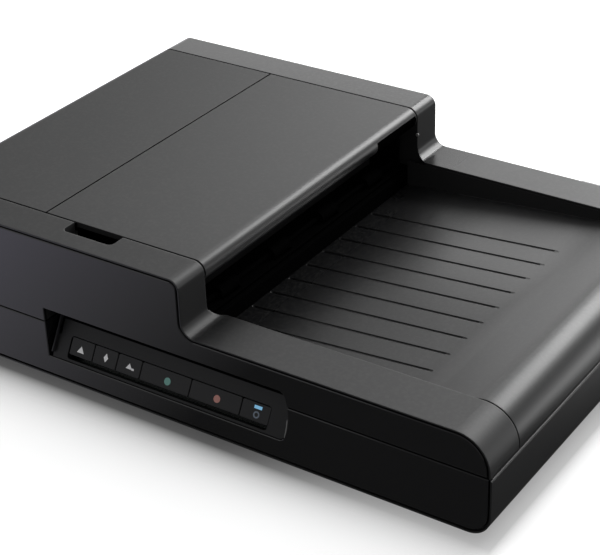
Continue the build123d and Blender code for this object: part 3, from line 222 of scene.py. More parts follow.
surround = {"white": 0.50,
            "dim": (-0.2, 0.3, 0.30, 0.42), "behind": (0, 0.4, 0, 1),  # along Y
            "rise": (-0.66, -0.34, 0, 1.75), "fade": (0.20, 0.45, 1, 0),  # along X
            "side": (0.58, 0.70, 1, 0),
            "lower": (0.54, 0.34, 0.42, 1), "horizon": (0, 0.22, 1.3, 0)}  # along Z
studioFloor = {"size": 12.0, "tone": 0.80, "lift": 0.55, "rough": 0.6, "gloss": 0.2,
               "paintedShadow": {"side": 3.0, "fade": 0.016, "alongX": (0.02, 0.20, 0.88, 0.45)},
               # what glossy rays see
               "base": 0.09, "clear": (0, 0.10, 0.1, 1), "rearward": (-0.06, 0.22, 0, 3.0),
               "right": (0.20, 0.36, 0.05, 1), "left": (0.03, -0.29), "leftLevel": 0.95,
               "leftTint": (0.98, 0.95, 1.14)}
lamps = {"rearSoftbox": {"place": (0.34, 1.60, 1.18), "aim": (0, 0, 0.08), "size": (1.05, 0.56),
                         "power": 28.0},
         "overhead": {"place": (-0.70, 0.25, 2.0), "aim": (0, 0, 0.05), "size": (1.4, 1.4),
                      "power": 9.0},
         "leftFill": {"place": (-1.5, -1.3, 1.3), "aim": (0, 0, 0.05), "size": (1.2, 1.2),
                      "power": 3.0}}


def paintSurround(look):
    # white to the camera and through glass; to glossy rays a dim room with a lit wall behind
    world = bpy.data.worlds.new("whiteSurround")
    scene.world = world
    world.use_nodes = True
    tree = world.node_tree
    shade = tree.nodes["Background"]
    rays = addNode(tree, "ShaderNodeLightPath").outputs
    x, y, z = splitParts(tree, objectPlace(tree))
    share = {name: rampNode(tree, axis, *look[name], smooth=True)
             for name, axis in (("dim", y), ("behind", y), ("rise", x), ("fade", x), ("side", x),
                                ("lower", z), ("horizon", z))}
    wall = product(tree, share["rise"], share["fade"], share["lower"])
    band = product(tree, share["horizon"], share["side"])
    lit = product(tree, mathNode(tree, "ADD", wall, band), share["behind"])
    glossy = product(tree, mathNode(tree, "ADD", share["dim"], lit), rays["Is Glossy Ray"])
    seen = largest(tree, rays["Is Camera Ray"], rays["Is Transmission Ray"])
    white = rampNode(tree, seen, 0, 1, look["white"], 1)
    plain = product(tree, white, mathNode(tree, "SUBTRACT", 1.0, rays["Is Glossy Ray"]))
    tree.links.new(mathNode(tree, "ADD", plain, glossy), shade.inputs["Strength"])
    setSockets(shade, Color=(1, 1, 1, 1))


def paintFloor(look):
    # pale and matt; to glossy rays it glows instead, with a painted shadow of the machine in
    # front and painted light further out
    bpy.ops.mesh.primitive_plane_add(size=look["size"], location=(0, 0, 0))
    floor = bpy.context.object
    floor.name = "studioFloor"
    paint, tree, skin = startMaterial("studioFloor")
    setSockets(skin, Roughness=look["rough"], Specular_IOR_Level=look["gloss"],
               Emission_Color=(1, 1, 1, 1))
    rays = addNode(tree, "ShaderNodeLightPath").outputs
    place = objectPlace(tree)
    x, y = splitParts(tree, place)[:2]
    half = (modelBox[1][0], modelBox[1][1], 1)
    beyond = vectorNode(tree, "SUBTRACT", vectorNode(tree, "ABSOLUTE", place), half)
    outside = vectorNode(tree, "MAXIMUM", beyond)
    reach = vectorNode(tree, "LENGTH", outside)
    # painted shadow: the floor's colour and its glow to the camera darken close round the
    # machine, deeper towards the left
    paintedShadow = look["paintedShadow"]
    stretched = vectorNode(tree, "MULTIPLY", outside, (paintedShadow["side"], 1, 0))
    away = mathNode(tree, "DIVIDE", vectorNode(tree, "LENGTH", stretched), -paintedShadow["fade"])
    depth = rampNode(tree, x, *paintedShadow["alongX"], smooth=True)
    dark = product(tree, mathNode(tree, "EXPONENT", away, 0), depth)
    unshadedShare = mathNode(tree, "SUBTRACT", 1.0, dark)
    tree.links.new(scaleColour(tree, (look["tone"],) * 3, unshadedShare), skin.inputs["Base Color"])
    tree.links.new(product(tree, rays["Is Camera Ray"], look["lift"], unshadedShare),
                   skin.inputs["Emission Strength"])
    # painted reflection: what glossy rays see is dim close to the machine and brighter further
    # out, to the rear, the right and the left
    beside = product(tree, rampNode(tree, reach, *look["clear"], smooth=True),
                     rampNode(tree, y, *look["rearward"], smooth=True),
                     rampNode(tree, x, *look["right"], smooth=True))
    left = rampNode(tree, x, *look["left"], 0, look["leftLevel"])
    glow = addNode(tree, "ShaderNodeEmission")
    tree.links.new(largest(tree, mathNode(tree, "ADD", beside, look["base"]), left),
                   glow.inputs["Strength"])
    tree.links.new(blendColour(tree, rampNode(tree, x, *look["left"], 0, 1), (1, 1, 1),
                               look["leftTint"]), glow.inputs["Color"])
    choose = addNode(tree, "ShaderNodeMixShader")
    tree.links.new(rays["Is Glossy Ray"], choose.inputs[0])
    tree.links.new(skin.outputs[0], choose.inputs[1])
    tree.links.new(glow.outputs[0], choose.inputs[2])
    tree.links.new(choose.outputs[0], tree.nodes["Material Output"].inputs["Surface"])
    floor.data.materials.append(paint)


def hangLamps(looks):
    for name, lamp in looks.items():
        data = bpy.data.lights.new(name, "AREA")
        data.shape = "RECTANGLE"
        data.size, data.size_y = lamp["size"]
        data.energy = lamp["power"]
        light = bpy.data.objects.new(name, data)
        light.location = lamp["place"]
        light.rotation_euler = (Vector(lamp["aim"]) - Vector(lamp["place"])).to_track_quat(
            "-Z", "Y").to_euler()
        scene.collection.objects.link(light)


paintSurround(surround)
paintFloor(studioFloor)
hangLamps(lamps)
print("floor, surround and lamps placed")

# Shared effects: moulded grain, worn edges and dust

grainScale = {"roughness": 0.6, "fineDetail": 3, "slow": 9, "slowDetail": 4}
edgeScale = {"samples": 6, "turned": (1.0, 0.80, 0, 1), "patches": 160}
dustScale = {"facing": (0.6, 1.0, 0, 1), "specks": 420, "detail": 6,
             "grouped": (0.45, 0.75, 0, 1), "colour": (0.42, 0.41, 0.39)}


def startGroup(name, inputs, outputs):
    group = bpy.data.node_groups.new(name, "ShaderNodeTree")
    for socketName, value in inputs.items():
        socket = group.interface.new_socket(socketName, in_out="INPUT",
                                            socket_type="NodeSocketFloat")
        socket.default_value = value
    for socketName in outputs:
        group.interface.new_socket(socketName, in_out="OUTPUT", socket_type="NodeSocketFloat")
    return group, addNode(group, "NodeGroupInput"), addNode(group, "NodeGroupOutput")


def makeGrain(look):
    # fine moulded texture, a slow drift of tone, and patches of more or less sheen
    group, given, made = startGroup("mouldedGrain", {"Grains": 1400.0, "Drift": 0.12},
                                    ("Height", "Tone", "Sheen"))
    fine = noiseNode(group, 1, look["fineDetail"])
    setSockets(fine, Roughness=look["roughness"])
    group.links.new(given.outputs["Grains"], fine.inputs["Scale"])
    slow = noiseNode(group, look["slow"], look["slowDetail"])
    spread = addNode(group, "ShaderNodeMapRange")
    for end, operation in (("To Min", "SUBTRACT"), ("To Max", "ADD")):
        group.links.new(mathNode(group, operation, 1.0, given.outputs["Drift"]),
                        spread.inputs[end])
    group.links.new(slow.outputs["Fac"], spread.inputs["Value"])
    group.links.new(fine.outputs["Fac"], made.inputs["Height"])
    group.links.new(spread.outputs["Result"], made.inputs["Tone"])
    group.links.new(slow.outputs["Fac"], made.inputs["Sheen"])
    return group


def makeEdges(look):
    # how far the surface turns within the radius: a mask of the edges, broken up a little
    group, given, made = startGroup("handledEdges", {"Radius": 0.0006, "Wear": 0.5}, ("Mask",))
    rounded = addNode(group, "ShaderNodeBevel", samples=look["samples"])
    shape = addNode(group, "ShaderNodeNewGeometry")
    group.links.new(given.outputs["Radius"], rounded.inputs["Radius"])
    match = vectorNode(group, "DOT_PRODUCT", rounded.outputs["Normal"],
                       shape.outputs["True Normal"])
    worn = product(group, rampNode(group, match, *look["turned"]),
                   noiseNode(group, look["patches"]).outputs["Fac"])
    group.links.new(mathNode(group, "MULTIPLY", worn, given.outputs["Wear"], clamp=True),
                    made.inputs["Mask"])
    return group


def makeDust(look):
    # a thin film of dust that lies on what faces up
    group, given, made = startGroup("restingDust", {"Amount": 0.2}, ("Mask",))
    shape = addNode(group, "ShaderNodeNewGeometry")
    up = splitParts(group, shape.outputs["Normal"])[2]
    specks = noiseNode(group, look["specks"], look["detail"])
    both = product(group, rampNode(group, up, *look["facing"]),
                   rampNode(group, specks.outputs["Fac"], *look["grouped"]))
    group.links.new(mathNode(group, "MULTIPLY", both, given.outputs["Amount"], clamp=True),
                    made.inputs["Mask"])
    return group


mouldedGrain = makeGrain(grainScale)
handledEdges = makeEdges(edgeScale)
restingDust = makeDust(dustScale)


def placeGroup(tree, group, **values):
    return setSockets(addNode(tree, "ShaderNodeGroup", node_tree=group), **values)


plainPlastic = {"drift": 0.12, "wear": 0.4, "dust": 0.10, "gloss": 0.5, "soften": 0.0005,
                "edge": 0.0006, "ior": 1.5, "worn": (1.6, 0.02)}


def mouldedPlastic(name, look):
    # plastic with grain, handled edges, dust and a slow drift of tone
    look = dict(plainPlastic, **look)
    material, tree, skin = startMaterial(name)
    grain = placeGroup(tree, mouldedGrain, Grains=look["grains"], Drift=look["drift"]).outputs
    edges = placeGroup(tree, handledEdges, Radius=look["edge"], Wear=look["wear"])
    dust = placeGroup(tree, restingDust, Amount=look["dust"])
    paler, lift = look["worn"]
    light = tuple(min(1.0, c * paler + lift) for c in look["colour"])
    worn = blendColour(tree, edges.outputs["Mask"],
                       scaleColour(tree, look["colour"], grain["Tone"]), light)
    tree.links.new(blendColour(tree, dust.outputs["Mask"], worn, dustScale["colour"]),
                   skin.inputs["Base Color"])
    bump = raiseBump(tree, skin, grain["Height"], *look["depth"])
    soft = setSockets(addNode(tree, "ShaderNodeBevel", samples=edgeScale["samples"]),
                      Radius=look["soften"])
    tree.links.new(soft.outputs["Normal"], bump.inputs["Normal"])
    setSockets(skin, IOR=look["ior"], Specular_IOR_Level=look["gloss"])
    rough = rampNode(tree, grain["Sheen"], 0, 1, *look["rough"])
    if "alongX" in look:
        rough = paintSheenAndRoughness(tree, skin, look, rough)
    tree.links.new(rough, skin.inputs["Roughness"])
    return material


paintedSheen = {"facing": (0.93, 0.97, 0, 1), "end": (0.200, 0.212, 1, 0), "rough": 0.36,
             "aboveStep": (0.002, 0.016, 1, 0.3), "pastStep": (0.02, 0.06, 0.3, 1)}
mattParts = {"facesFront": (-0.90, -0.97, 0, 1), "facesRight": (0.85, 0.97, 0, 1),
             "facesDown": (0.1, 0.5, 1, 0), "notLevel": (0.92, 1.0, 1, 0), "seamFade": 0.01,
             "seamLeft": (-0.15, -0.14, 0, 1), "seamRight": (-0.11, -0.10, 1, 0),
             "step": (0.02, 0.04, 1, 0), "front": (-0.12, 0.0), "nose": (-0.01, 0.0, 0, 1)}


def paintSheenAndRoughness(tree, skin, look, rough):
    # painted sheen: a clear coat on what faces up, all along the ramp and over the rear part of
    # the rest, so that these parts read brighter
    shape = addNode(tree, "ShaderNodeNewGeometry")
    right, rear, up = splitParts(tree, shape.outputs["Normal"])
    x, y = splitParts(tree, objectPlace(tree))[:2]
    paintedSheenWeight = product(tree, rampNode(tree, x, *look["alongX"], smooth=True),
                   rampNode(tree, y, *look["alongY"], smooth=True))
    if "rampX" in look:
        paintedSheenWeight = largest(tree, paintedSheenWeight, rampNode(tree, x, *look["rampX"], smooth=True))
    # painted shade: there is less of the coat at the foot of the step
    nearStep = largest(tree, rampNode(tree, x, *paintedSheen["aboveStep"]),
                       rampNode(tree, x, *paintedSheen["pastStep"]))
    paintedSheenWeight = product(tree, paintedSheenWeight, rampNode(tree, x, *paintedSheen["end"], smooth=True), nearStep,
                   rampNode(tree, up, *paintedSheen["facing"], smooth=True))
    tree.links.new(paintedSheenWeight, skin.inputs["Coat Weight"])
    setSockets(skin, Coat_Roughness=paintedSheen["rough"])
    # the walls inside the seams stay rough from the mould
    seams = look["seamsFrom"]
    fronts = product(tree, rampNode(tree, rear, *mattParts["facesFront"]),
                     rampNode(tree, y, seams, seams + mattParts["seamFade"], 0, 1))
    sideways = rampNode(tree, right, *mattParts["facesRight"])
    middle = product(tree, sideways, rampNode(tree, x, *mattParts["seamLeft"]),
                     rampNode(tree, x, *mattParts["seamRight"]))
    rough = largest(tree, rough, fronts, middle)
    if "mattStep" in look:
        step = product(tree, sideways, rampNode(tree, x, *mattParts["step"]), look["mattStep"])
        front = rampNode(tree, y, *mattParts["front"], look["mattFront"], 0, smooth=True)
        rough = largest(tree, rough, step, front)
    if "mattNose" in look:
        nose = product(tree, rampNode(tree, up, *mattParts["facesDown"]),
                       rampNode(tree, y, *look["mattNose"], 0, 1, smooth=True),
                       rampNode(tree, x, *mattParts["nose"]))
        rough = largest(tree, rough, nose)
    # what is level is smoother towards the step
    if "innerEnd" in look:
        sleek = largest(tree, rampNode(tree, x, *look["innerEnd"]),
                        rampNode(tree, up, *mattParts["notLevel"]))
        rough = product(tree, rough, sleek)
    return rough


def wear(material, *names):
    # gives the material to CAD nodes
    for name in names:
        for slot in nodes[name].material_slots:
            slot.material = material


shellLook = {"colour": (0.0052, 0.0053, 0.0057), "rough": (0.36, 0.41), "grains": 1500.0,
             "depth": (0.25, 0.00004), "gloss": 0.5, "dust": 0.03, "wear": 0.18,
             "soften": 0.0007}
# alongX, alongY and rampX say where the rims, tray and covers get the painted sheen
rimLook = dict(shellLook, alongX=(-0.23, 0.0, 1.0, 0.40), alongY=(0.05, 0.12, 0, 1),
               mattStep=0.95, mattFront=0.52, innerEnd=(0.02, 0.12, 0.62, 1.0), seamsFrom=0.10,
               soften=0.0009)
trayLook = dict(shellLook, alongX=(0.06, 0.10, 0, 0.55), alongY=(-0.06, 0.06, 0, 1),
                rampX=(0.155, 0.175, 0, 0.60), grains=1700.0,
                innerEnd=(0.02, 0.08, 0.70, 1.0), seamsFrom=-0.3, soften=0.0008, wear=0.04)
coverLook = dict(shellLook, alongX=(-0.25, 0.0, 0, 0.24), alongY=(-0.17, -0.10, 0.6, 1),
                 mattNose=(0.03, 0.11), grains=1450.0, seamsFrom=-0.3, soften=0.0005)
caseLook = {"colour": (0.0070, 0.0071, 0.0076), "rough": (0.42, 0.50), "grains": 1300.0,
            "depth": (0.35, 0.00005), "gloss": 0.45, "dust": 0.02, "wear": 0.18}
fasciaLook = {"colour": (0.0042, 0.0042, 0.0046), "rough": (0.06, 0.10), "grains": 400.0,
              "depth": (0.03, 0.00002), "gloss": 0.45, "dust": 0.01, "wear": 0.05,
              "soften": 0.0005}
panelLook = {"colour": (0.0055, 0.0057, 0.0062), "rough": (0.40, 0.48), "grains": 1600.0,
             "depth": (0.3, 0.00004), "gloss": 0.35, "dust": 0.02, "wear": 0.1}
buttonLook = {"colour": (0.0075, 0.0077, 0.0084), "rough": (0.36, 0.44), "grains": 1900.0,
              "depth": (0.25, 0.00003), "gloss": 0.4, "dust": 0.01, "wear": 0.5}
innerLook = {"colour": (0.0065, 0.0066, 0.0070), "rough": (0.48, 0.58), "grains": 1100.0,
             "depth": (0.4, 0.00006), "gloss": 0.4, "dust": 0.02}
# painted shade: the parts in the paper mouth are made far darker and less glossy than the other
# black plastic and rubber, standing in for the deep shade in the mouth
mouthShadeLook = {"colour": (0.0010, 0.0010, 0.0011), "rough": (0.75, 0.85), "grains": 1100.0,
             "depth": (0.4, 0.00006), "gloss": 0.01, "dust": 0.0, "wear": 0.01}
mouthRubberShadeLook = {"colour": (0.0005, 0.0005, 0.0005), "rough": (0.75, 0.90), "grains": 900.0,
                   "depth": (0.6, 0.00008), "gloss": 0.01, "dust": 0.0, "wear": 0.01}
gearLook = {"colour": (0.55, 0.54, 0.49), "rough": (0.34, 0.42), "grains": 900.0,
            "depth": (0.15, 0.00003), "dust": 0.03}
pinchLook = {"colour": (0.020, 0.020, 0.021), "rough": (0.30, 0.38), "grains": 900.0,
             "depth": (0.15, 0.00003), "dust": 0.02}
sheetLook = {"colour": (0.80, 0.80, 0.78), "rough": (0.36, 0.42), "grains": 700.0,
             "depth": (0.1, 0.00003), "drift": 0.02, "dust": 0.0}
foamLook = {"colour": (0.09, 0.09, 0.095), "rough": (0.85, 0.95), "grains": 1100.0,
            "depth": (1.0, 0.0004), "gloss": 0.2, "dust": 0.0}
rubberLook = {"colour": (0.016, 0.016, 0.017), "rough": (0.62, 0.78), "grains": 900.0,
              "depth": (0.6, 0.00008), "gloss": 0.3, "dust": 0.08}
socketLook = {"colour": (0.012, 0.012, 0.012), "rough": (0.30, 0.38), "grains": 800.0,
              "depth": (0.2, 0.00003), "dust": 0.02}

shellPlastic = mouldedPlastic("satinShell", shellLook)
rimPlastic = mouldedPlastic("satinRims", rimLook)
trayPlastic = mouldedPlastic("satinTray", trayLook)
coverPlastic = mouldedPlastic("satinCovers", coverLook)
mouthShadePlastic = mouldedPlastic("mouthShadeMoulding", mouthShadeLook)
mouthShadeRubber = mouldedPlastic("mouthShadeRubber", mouthRubberShadeLook)
casePlastic = mouldedPlastic("caseShell", caseLook)
fasciaPlastic = mouldedPlastic("glossFascia", fasciaLook)
panelPlastic = mouldedPlastic("panelPlate", panelLook)
buttonPlastic = mouldedPlastic("buttonCaps", buttonLook)
innerPlastic = mouldedPlastic("innerMoulding", innerLook)
gearPlastic = mouldedPlastic("acetalGears", gearLook)
pinchPlastic = mouldedPlastic("pinchRollers", pinchLook)
whiteSheet = mouldedPlastic("whiteBacking", sheetLook)
softFoam = mouldedPlastic("backingFoam", foamLook)
blackRubber = mouldedPlastic("blackRubber", rubberLook)
socketPlastic = mouldedPlastic("socketMoulding", socketLook)

wear(rimPlastic, "top_shell")
wear(coverPlastic, "feeder_cover", "feed_tray")
wear(trayPlastic, "output_tray")
wear(shellPlastic, "tray_extension")
wear(casePlastic, "lower_case")
wear(fasciaPlastic, "front_panel", "lid_fascia")
wear(panelPlastic, "control_panel")
wear(buttonPlastic, "copy_button", "mail_button", "file_button", "start_button", "stop_button",
     "power_button")
wear(innerPlastic, "platen_frame", "carriage", "lid_pan", "lower_sensor", "upper_sensor",
     "tray_liner", "guide_front", "guide_rear")
wear(gearPlastic, "motor_pulley", "idler_pulley", "feed_gear", "transport_gear",
     "feeder_idler_gear", "motor_pinion", "guide_pinion")
wear(mouthShadePlastic, "feeder_frame", "upper_guide", "eject_pinch")
wear(pinchPlastic, "transport_pinch")
wear(whiteSheet, "backing_sheet")
wear(softFoam, "backing_foam")
wear(blackRubber, "rubber_feet", "carriage_belt", "feed_tyres", "transport_tyres",
     "eject_belt", "retard_roller")
wear(mouthShadeRubber, "eject_tyres")
wear(socketPlastic, "power_inlet")
print("plastics, rubber and foam made")

# Metals, glass and circuit boards

metalScale = {"edge": 0.0004, "wear": 0.5, "bright": 1.3, "scratches": 900, "detail": 5,
              "grazed": (0.3, 0.7), "depth": (0.25, 0.00002)}
glassScale = {"ior": 1.5, "smears": 14, "detail": 6, "wiped": (0.35, 0.8), "dust": 0.03,
              "dustColour": (0.9, 0.9, 0.88)}
boardScale = {"offset": 0.37, "squash": 1.6, "gap": 0.05, "padEdge": (0.16, 0.20, 1, 0),
              "rough": (0.30, 0.22), "depth": (0.4, 0.00005)}


def turnedMetal(name, look):
    # steel with fine scratches along one direction
    material, tree, skin = startMaterial(name)
    setSockets(skin, Metallic=1.0)
    grain = placeGroup(tree, mouldedGrain, Grains=look["grains"], Drift=look["drift"])
    edges = placeGroup(tree, handledEdges, Radius=metalScale["edge"], Wear=metalScale["wear"])
    stretch = setSockets(addNode(tree, "ShaderNodeMapping"), Scale=look["stretch"])
    tree.links.new(objectPlace(tree), stretch.inputs["Vector"])
    scratches = noiseNode(tree, metalScale["scratches"], metalScale["detail"],
                          stretch.outputs[0]).outputs["Fac"]
    bright = tuple(min(1.0, c * metalScale["bright"]) for c in look["colour"])
    tree.links.new(blendColour(tree, edges.outputs["Mask"],
                               scaleColour(tree, look["colour"], grain.outputs["Tone"]), bright),
                   skin.inputs["Base Color"])
    tree.links.new(rampNode(tree, scratches, *metalScale["grazed"], *look["rough"]),
                   skin.inputs["Roughness"])
    raiseBump(tree, skin, scratches, *metalScale["depth"])
    return material


def clearGlass(name, look):
    # float glass: faintly green, wiped, with a little dust
    material, tree, skin = startMaterial(name)
    setSockets(skin, Transmission_Weight=look["clear"], IOR=glassScale["ior"])
    smears = noiseNode(tree, glassScale["smears"], glassScale["detail"])
    tree.links.new(rampNode(tree, smears.outputs["Fac"], *glassScale["wiped"], *look["rough"]),
                   skin.inputs["Roughness"])
    dust = placeGroup(tree, restingDust, Amount=glassScale["dust"])
    tree.links.new(blendColour(tree, dust.outputs["Mask"], look["colour"],
                               glassScale["dustColour"]), skin.inputs["Base Color"])
    return material


def circuitBoard(name, look):
    # lacquer over copper tracks, with tinned pads
    material, tree, skin = startMaterial(name)
    place = objectPlace(tree)
    tracks = setSockets(addNode(tree, "ShaderNodeTexBrick", offset=boardScale["offset"],
                                squash=boardScale["squash"]),
                        Scale=look["tracks"], Mortar_Size=boardScale["gap"])
    pads = setSockets(addNode(tree, "ShaderNodeTexVoronoi"), Scale=look["pads"])
    for pattern in (tracks, pads):
        tree.links.new(place, pattern.inputs["Vector"])
    lines = tracks.outputs["Fac"]
    padMask = rampNode(tree, pads.outputs["Distance"], *boardScale["padEdge"])
    lacquer = blendColour(tree, lines, look["lacquer"], look["track"])
    tree.links.new(blendColour(tree, padMask, lacquer, look["pad"]), skin.inputs["Base Color"])
    tree.links.new(padMask, skin.inputs["Metallic"])
    tree.links.new(rampNode(tree, lines, 0, 1, *boardScale["rough"]), skin.inputs["Roughness"])
    raiseBump(tree, skin, mathNode(tree, "ADD", lines, padMask), *boardScale["depth"])
    return material


steelLook = {"colour": (0.56, 0.56, 0.57), "grains": 500.0, "drift": 0.06,
             "stretch": (0.05, 1, 1), "rough": (0.20, 0.36)}
platedLook = {"colour": (0.36, 0.36, 0.37), "grains": 260.0, "drift": 0.14,
              "stretch": (1, 0.08, 1), "rough": (0.30, 0.48)}
blackSteelLook = {"colour": (0.002, 0.002, 0.002), "grains": 400.0, "drift": 0.08,
                  "stretch": (1, 0.08, 1), "rough": (0.40, 0.55)}
glassLook = {"colour": (0.93, 0.97, 0.95), "clear": 1.0, "rough": (0.0, 0.03)}
boardLook = {"lacquer": (0.012, 0.085, 0.035), "track": (0.025, 0.14, 0.06),
             "pad": (0.62, 0.61, 0.58), "tracks": 240.0, "pads": 330.0}
darkBoardLook = dict(boardLook, lacquer=(0.002, 0.005, 0.004), track=(0.003, 0.008, 0.006),
                     pad=(0.02, 0.02, 0.02))

turnedSteel = turnedMetal("turnedSteel", steelLook)
platedSteel = turnedMetal("platedSteel", platedLook)
blackSteel = turnedMetal("blackenedSteel", blackSteelLook)
clearPane = clearGlass("clearPane", glassLook)
greenBoard = circuitBoard("greenBoard", boardLook)
darkBoard = circuitBoard("darkBoard", darkBoardLook)

wear(turnedSteel, "carriage_rod", "feed_shaft", "transport_shaft", "hinge_pins",
     "usb_socket", "case_screws")
# the eject shaft in the paper mouth is blackened steel, made near black also as painted shade
# for the mouth
wear(blackSteel, "eject_shaft")
wear(platedSteel, "hinge_brackets", "hinge_leaves", "carriage_motor", "feeder_motor")
wear(clearPane, "platen_glass", "carriage_lens")
wear(greenBoard, "main_board")
wear(darkBoard, "panel_board")
print("metals, glass and boards made")

# Modelling helpers

angles = {"round": 40, "smooth": 35, "bead": 50}


def atPlace(*place):
    return Matrix.Translation(place)


def pickOnly(piece):
    bpy.ops.object.select_all(action="DESELECT")
    piece.select_set(True)
    bpy.context.view_layer.objects.active = piece


def settle(piece):
    # the place goes into the mesh, and the object stays unturned at the origin
    pickOnly(piece)
    bpy.ops.object.transform_apply(location=True, rotation=True, scale=True)
    return piece


def putAt(piece, matrix):
    piece.matrix_world = matrix
    return settle(piece)


def applyAll(piece):
    pickOnly(piece)
    for step in list(piece.modifiers):
        bpy.ops.object.modifier_apply(modifier=step.name)


def roundEdges(piece, width, segments=2):
    bevel = piece.modifiers.new("roundEdges", "BEVEL")
    bevel.width = width
    bevel.segments = segments
    bevel.limit_method = "ANGLE"
    bevel.angle_limit = radians(angles["round"])
    applyAll(piece)
    bpy.ops.object.shade_smooth_by_angle(angle=radians(angles["smooth"]))
    return piece


def cutWith(piece, tool):
    cut = piece.modifiers.new("cut", "BOOLEAN")
    cut.operation = "DIFFERENCE"
    cut.solver = "EXACT"
    cut.object = tool
    applyAll(piece)
    bpy.data.objects.remove(tool)
    return piece


def addBlock(name, low, high):
    bpy.ops.object.select_all(action="DESELECT")
    low, high = Vector(low), Vector(high)
    bpy.ops.mesh.primitive_cube_add(size=1, location=(low + high) / 2, scale=high - low)
    piece = bpy.context.object
    piece.name = name
    return settle(piece)


def addDisc(name, place, radius, depth, sides, turn=0):
    bpy.ops.object.select_all(action="DESELECT")
    bpy.ops.mesh.primitive_cylinder_add(vertices=sides, radius=radius, depth=depth,
                                        location=place, rotation=(radians(turn), 0, 0))
    piece = bpy.context.object
    piece.name = name
    return settle(piece)


def pickFaces(piece, test):
    # leaves the piece in edit mode with the faces chosen by the test
    pickOnly(piece)
    bpy.ops.object.mode_set(mode="EDIT")
    bpy.ops.mesh.select_mode(type="FACE")
    bpy.ops.mesh.select_all(action="DESELECT")
    bpy.ops.object.mode_set(mode="OBJECT")
    for face in piece.data.polygons:
        face.select = test(face)
    bpy.ops.object.mode_set(mode="EDIT")


def raiseFaces(height):
    bpy.ops.mesh.extrude_region_move(TRANSFORM_OT_translate={"value": (0, 0, height)})


def endEdit():
    bpy.ops.mesh.select_all(action="SELECT")
    bpy.ops.mesh.normals_make_consistent(inside=False)
    bpy.ops.object.mode_set(mode="OBJECT")


def addSign(sides, radius, height, turn=0, scale=(1, 1), band=0):
    # a thin flat shape at the origin, or a ring where a band is given
    bpy.ops.object.select_all(action="DESELECT")
    bpy.ops.mesh.primitive_circle_add(vertices=sides, radius=radius, fill_type="NGON",
                                      location=(0, 0, 0), rotation=(0, 0, radians(turn)))
    sign = settle(bpy.context.object)
    sign.scale = (*scale, 1)
    settle(sign)
    pickFaces(sign, lambda face: True)
    if band:
        bpy.ops.mesh.inset(thickness=band)
        bpy.ops.mesh.delete(type="FACE")
        bpy.ops.mesh.select_all(action="SELECT")
    raiseFaces(height)
    endEdit()
    return sign


def copyTo(piece, matrix):
    twin = piece.copy()
    twin.data = piece.data.copy()
    scene.collection.objects.link(twin)
    return putAt(twin, matrix)


def joinAs(name, pieces):
    pickOnly(pieces[0])
    for piece in pieces:
        piece.select_set(True)
    if len(pieces) > 1:
        bpy.ops.object.join()
    whole = bpy.context.object
    whole.name = name
    whole.data.name = name
    return whole


def dress(piece, material, body):
    piece.data.materials.clear()
    piece.data.materials.append(material)
    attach(piece, body)
    return piece


# Feet, with a moulded ring in the tread

feet = {"radius": 0.009, "height": 0.009, "sides": 40, "x": 0.2045, "y": (-0.14225, 0.13375),
        "treads": ((0.0016, 0.0006), (0.0022, -0.0006)), "edge": 0.0007}  # insets and moves


def makeFeet(look):
    high = look["height"]
    foot = addDisc("foot", (0, 0, high / 2), look["radius"], high, look["sides"])
    pickFaces(foot, lambda face: face.normal.z < -0.9)  # the sole
    for inset, move in look["treads"]:
        bpy.ops.mesh.inset(thickness=inset)
        raiseFaces(move)
    endEdit()
    roundEdges(foot, look["edge"])
    copies = [copyTo(foot, atPlace(side * look["x"], y, 0))
              for side in (-1, 1) for y in look["y"]]
    bpy.data.objects.remove(foot)
    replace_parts(dress(joinAs("treadedFeet", copies), blackRubber, "base"),
                "rubber_feet")


makeFeet(feet)

# Screws with a cross recess: four long ones from below, small ones on the hinges

screws = {"head": 0.0034, "headHeight": 0.0030, "shank": 0.0015, "shankLength": 0.029,
          "x": 0.2220, "y": (-0.15325, 0.14975), "seat": 0.0092,
          "cross": (0.0042, 0.0009, 0.0016), "dome": 0.0006, "headSides": 36,
          "shankSides": 20}
hingeScrews = {"head": 0.0022, "headHeight": 0.0012, "cross": (0.0026, 0.0006, 0.0007),
               "dome": 0.0003, "headSides": 36, "x": 0.140, "face": 0.16175,
               "bracket": (0.00625, 0.0335), "leaf": (0.0045, 0.0665)}  # half spread, height


def makeHead(name, look):
    # a pan head that faces up, its underside at z = 0, with the cross cut into it
    high = look["headHeight"]
    head = addDisc(name, (0, 0, high / 2), look["head"], high, look["headSides"])
    roundEdges(head, look["dome"], 3)
    reach, wide, deep = look["cross"]
    for a, b in ((reach, wide), (wide, reach)):
        cutWith(head, addBlock("slotTool", (-a / 2, -b / 2, high - deep),
                               (a / 2, b / 2, high + deep)))
    return head


def makeCaseScrews(look):
    turnOver = Matrix.Rotation(pi, 4, "X")
    head = makeHead("screwHead", look)
    shank = addDisc("screwShank", (0, 0, -look["shankLength"] / 2), look["shank"],
                    look["shankLength"], look["shankSides"])
    screw = joinAs("screw", [head, shank])
    top = look["seat"] + look["headHeight"]
    copies = [copyTo(screw, atPlace(side * look["x"], y, top) @ turnOver)
              for side in (-1, 1) for y in look["y"]]
    bpy.data.objects.remove(screw)
    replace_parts(dress(joinAs("crossHeadScrews", copies), turnedSteel, "base"),
                "case_screws")


def makeHingeScrews(look):
    faceRear = Matrix.Rotation(-pi / 2, 4, "X")
    head = makeHead("hingeScrew", look)
    for name, body, (shift, z) in (("bracketScrews", "base", look["bracket"]),
                                   ("leafScrews", "lid", look["leaf"])):
        places = [(side * look["x"] + way * shift, look["face"], z)
                  for side in (-1, 1) for way in (-1, 1)]
        copies = [copyTo(head, atPlace(*place) @ faceRear) for place in places]
        dress(joinAs(name, copies), turnedSteel, body)
    bpy.data.objects.remove(head)


makeCaseScrews(screws)
makeHingeScrews(hingeScrews)
print("feet and screws made")

# Button marks: thin raised signs on the button faces

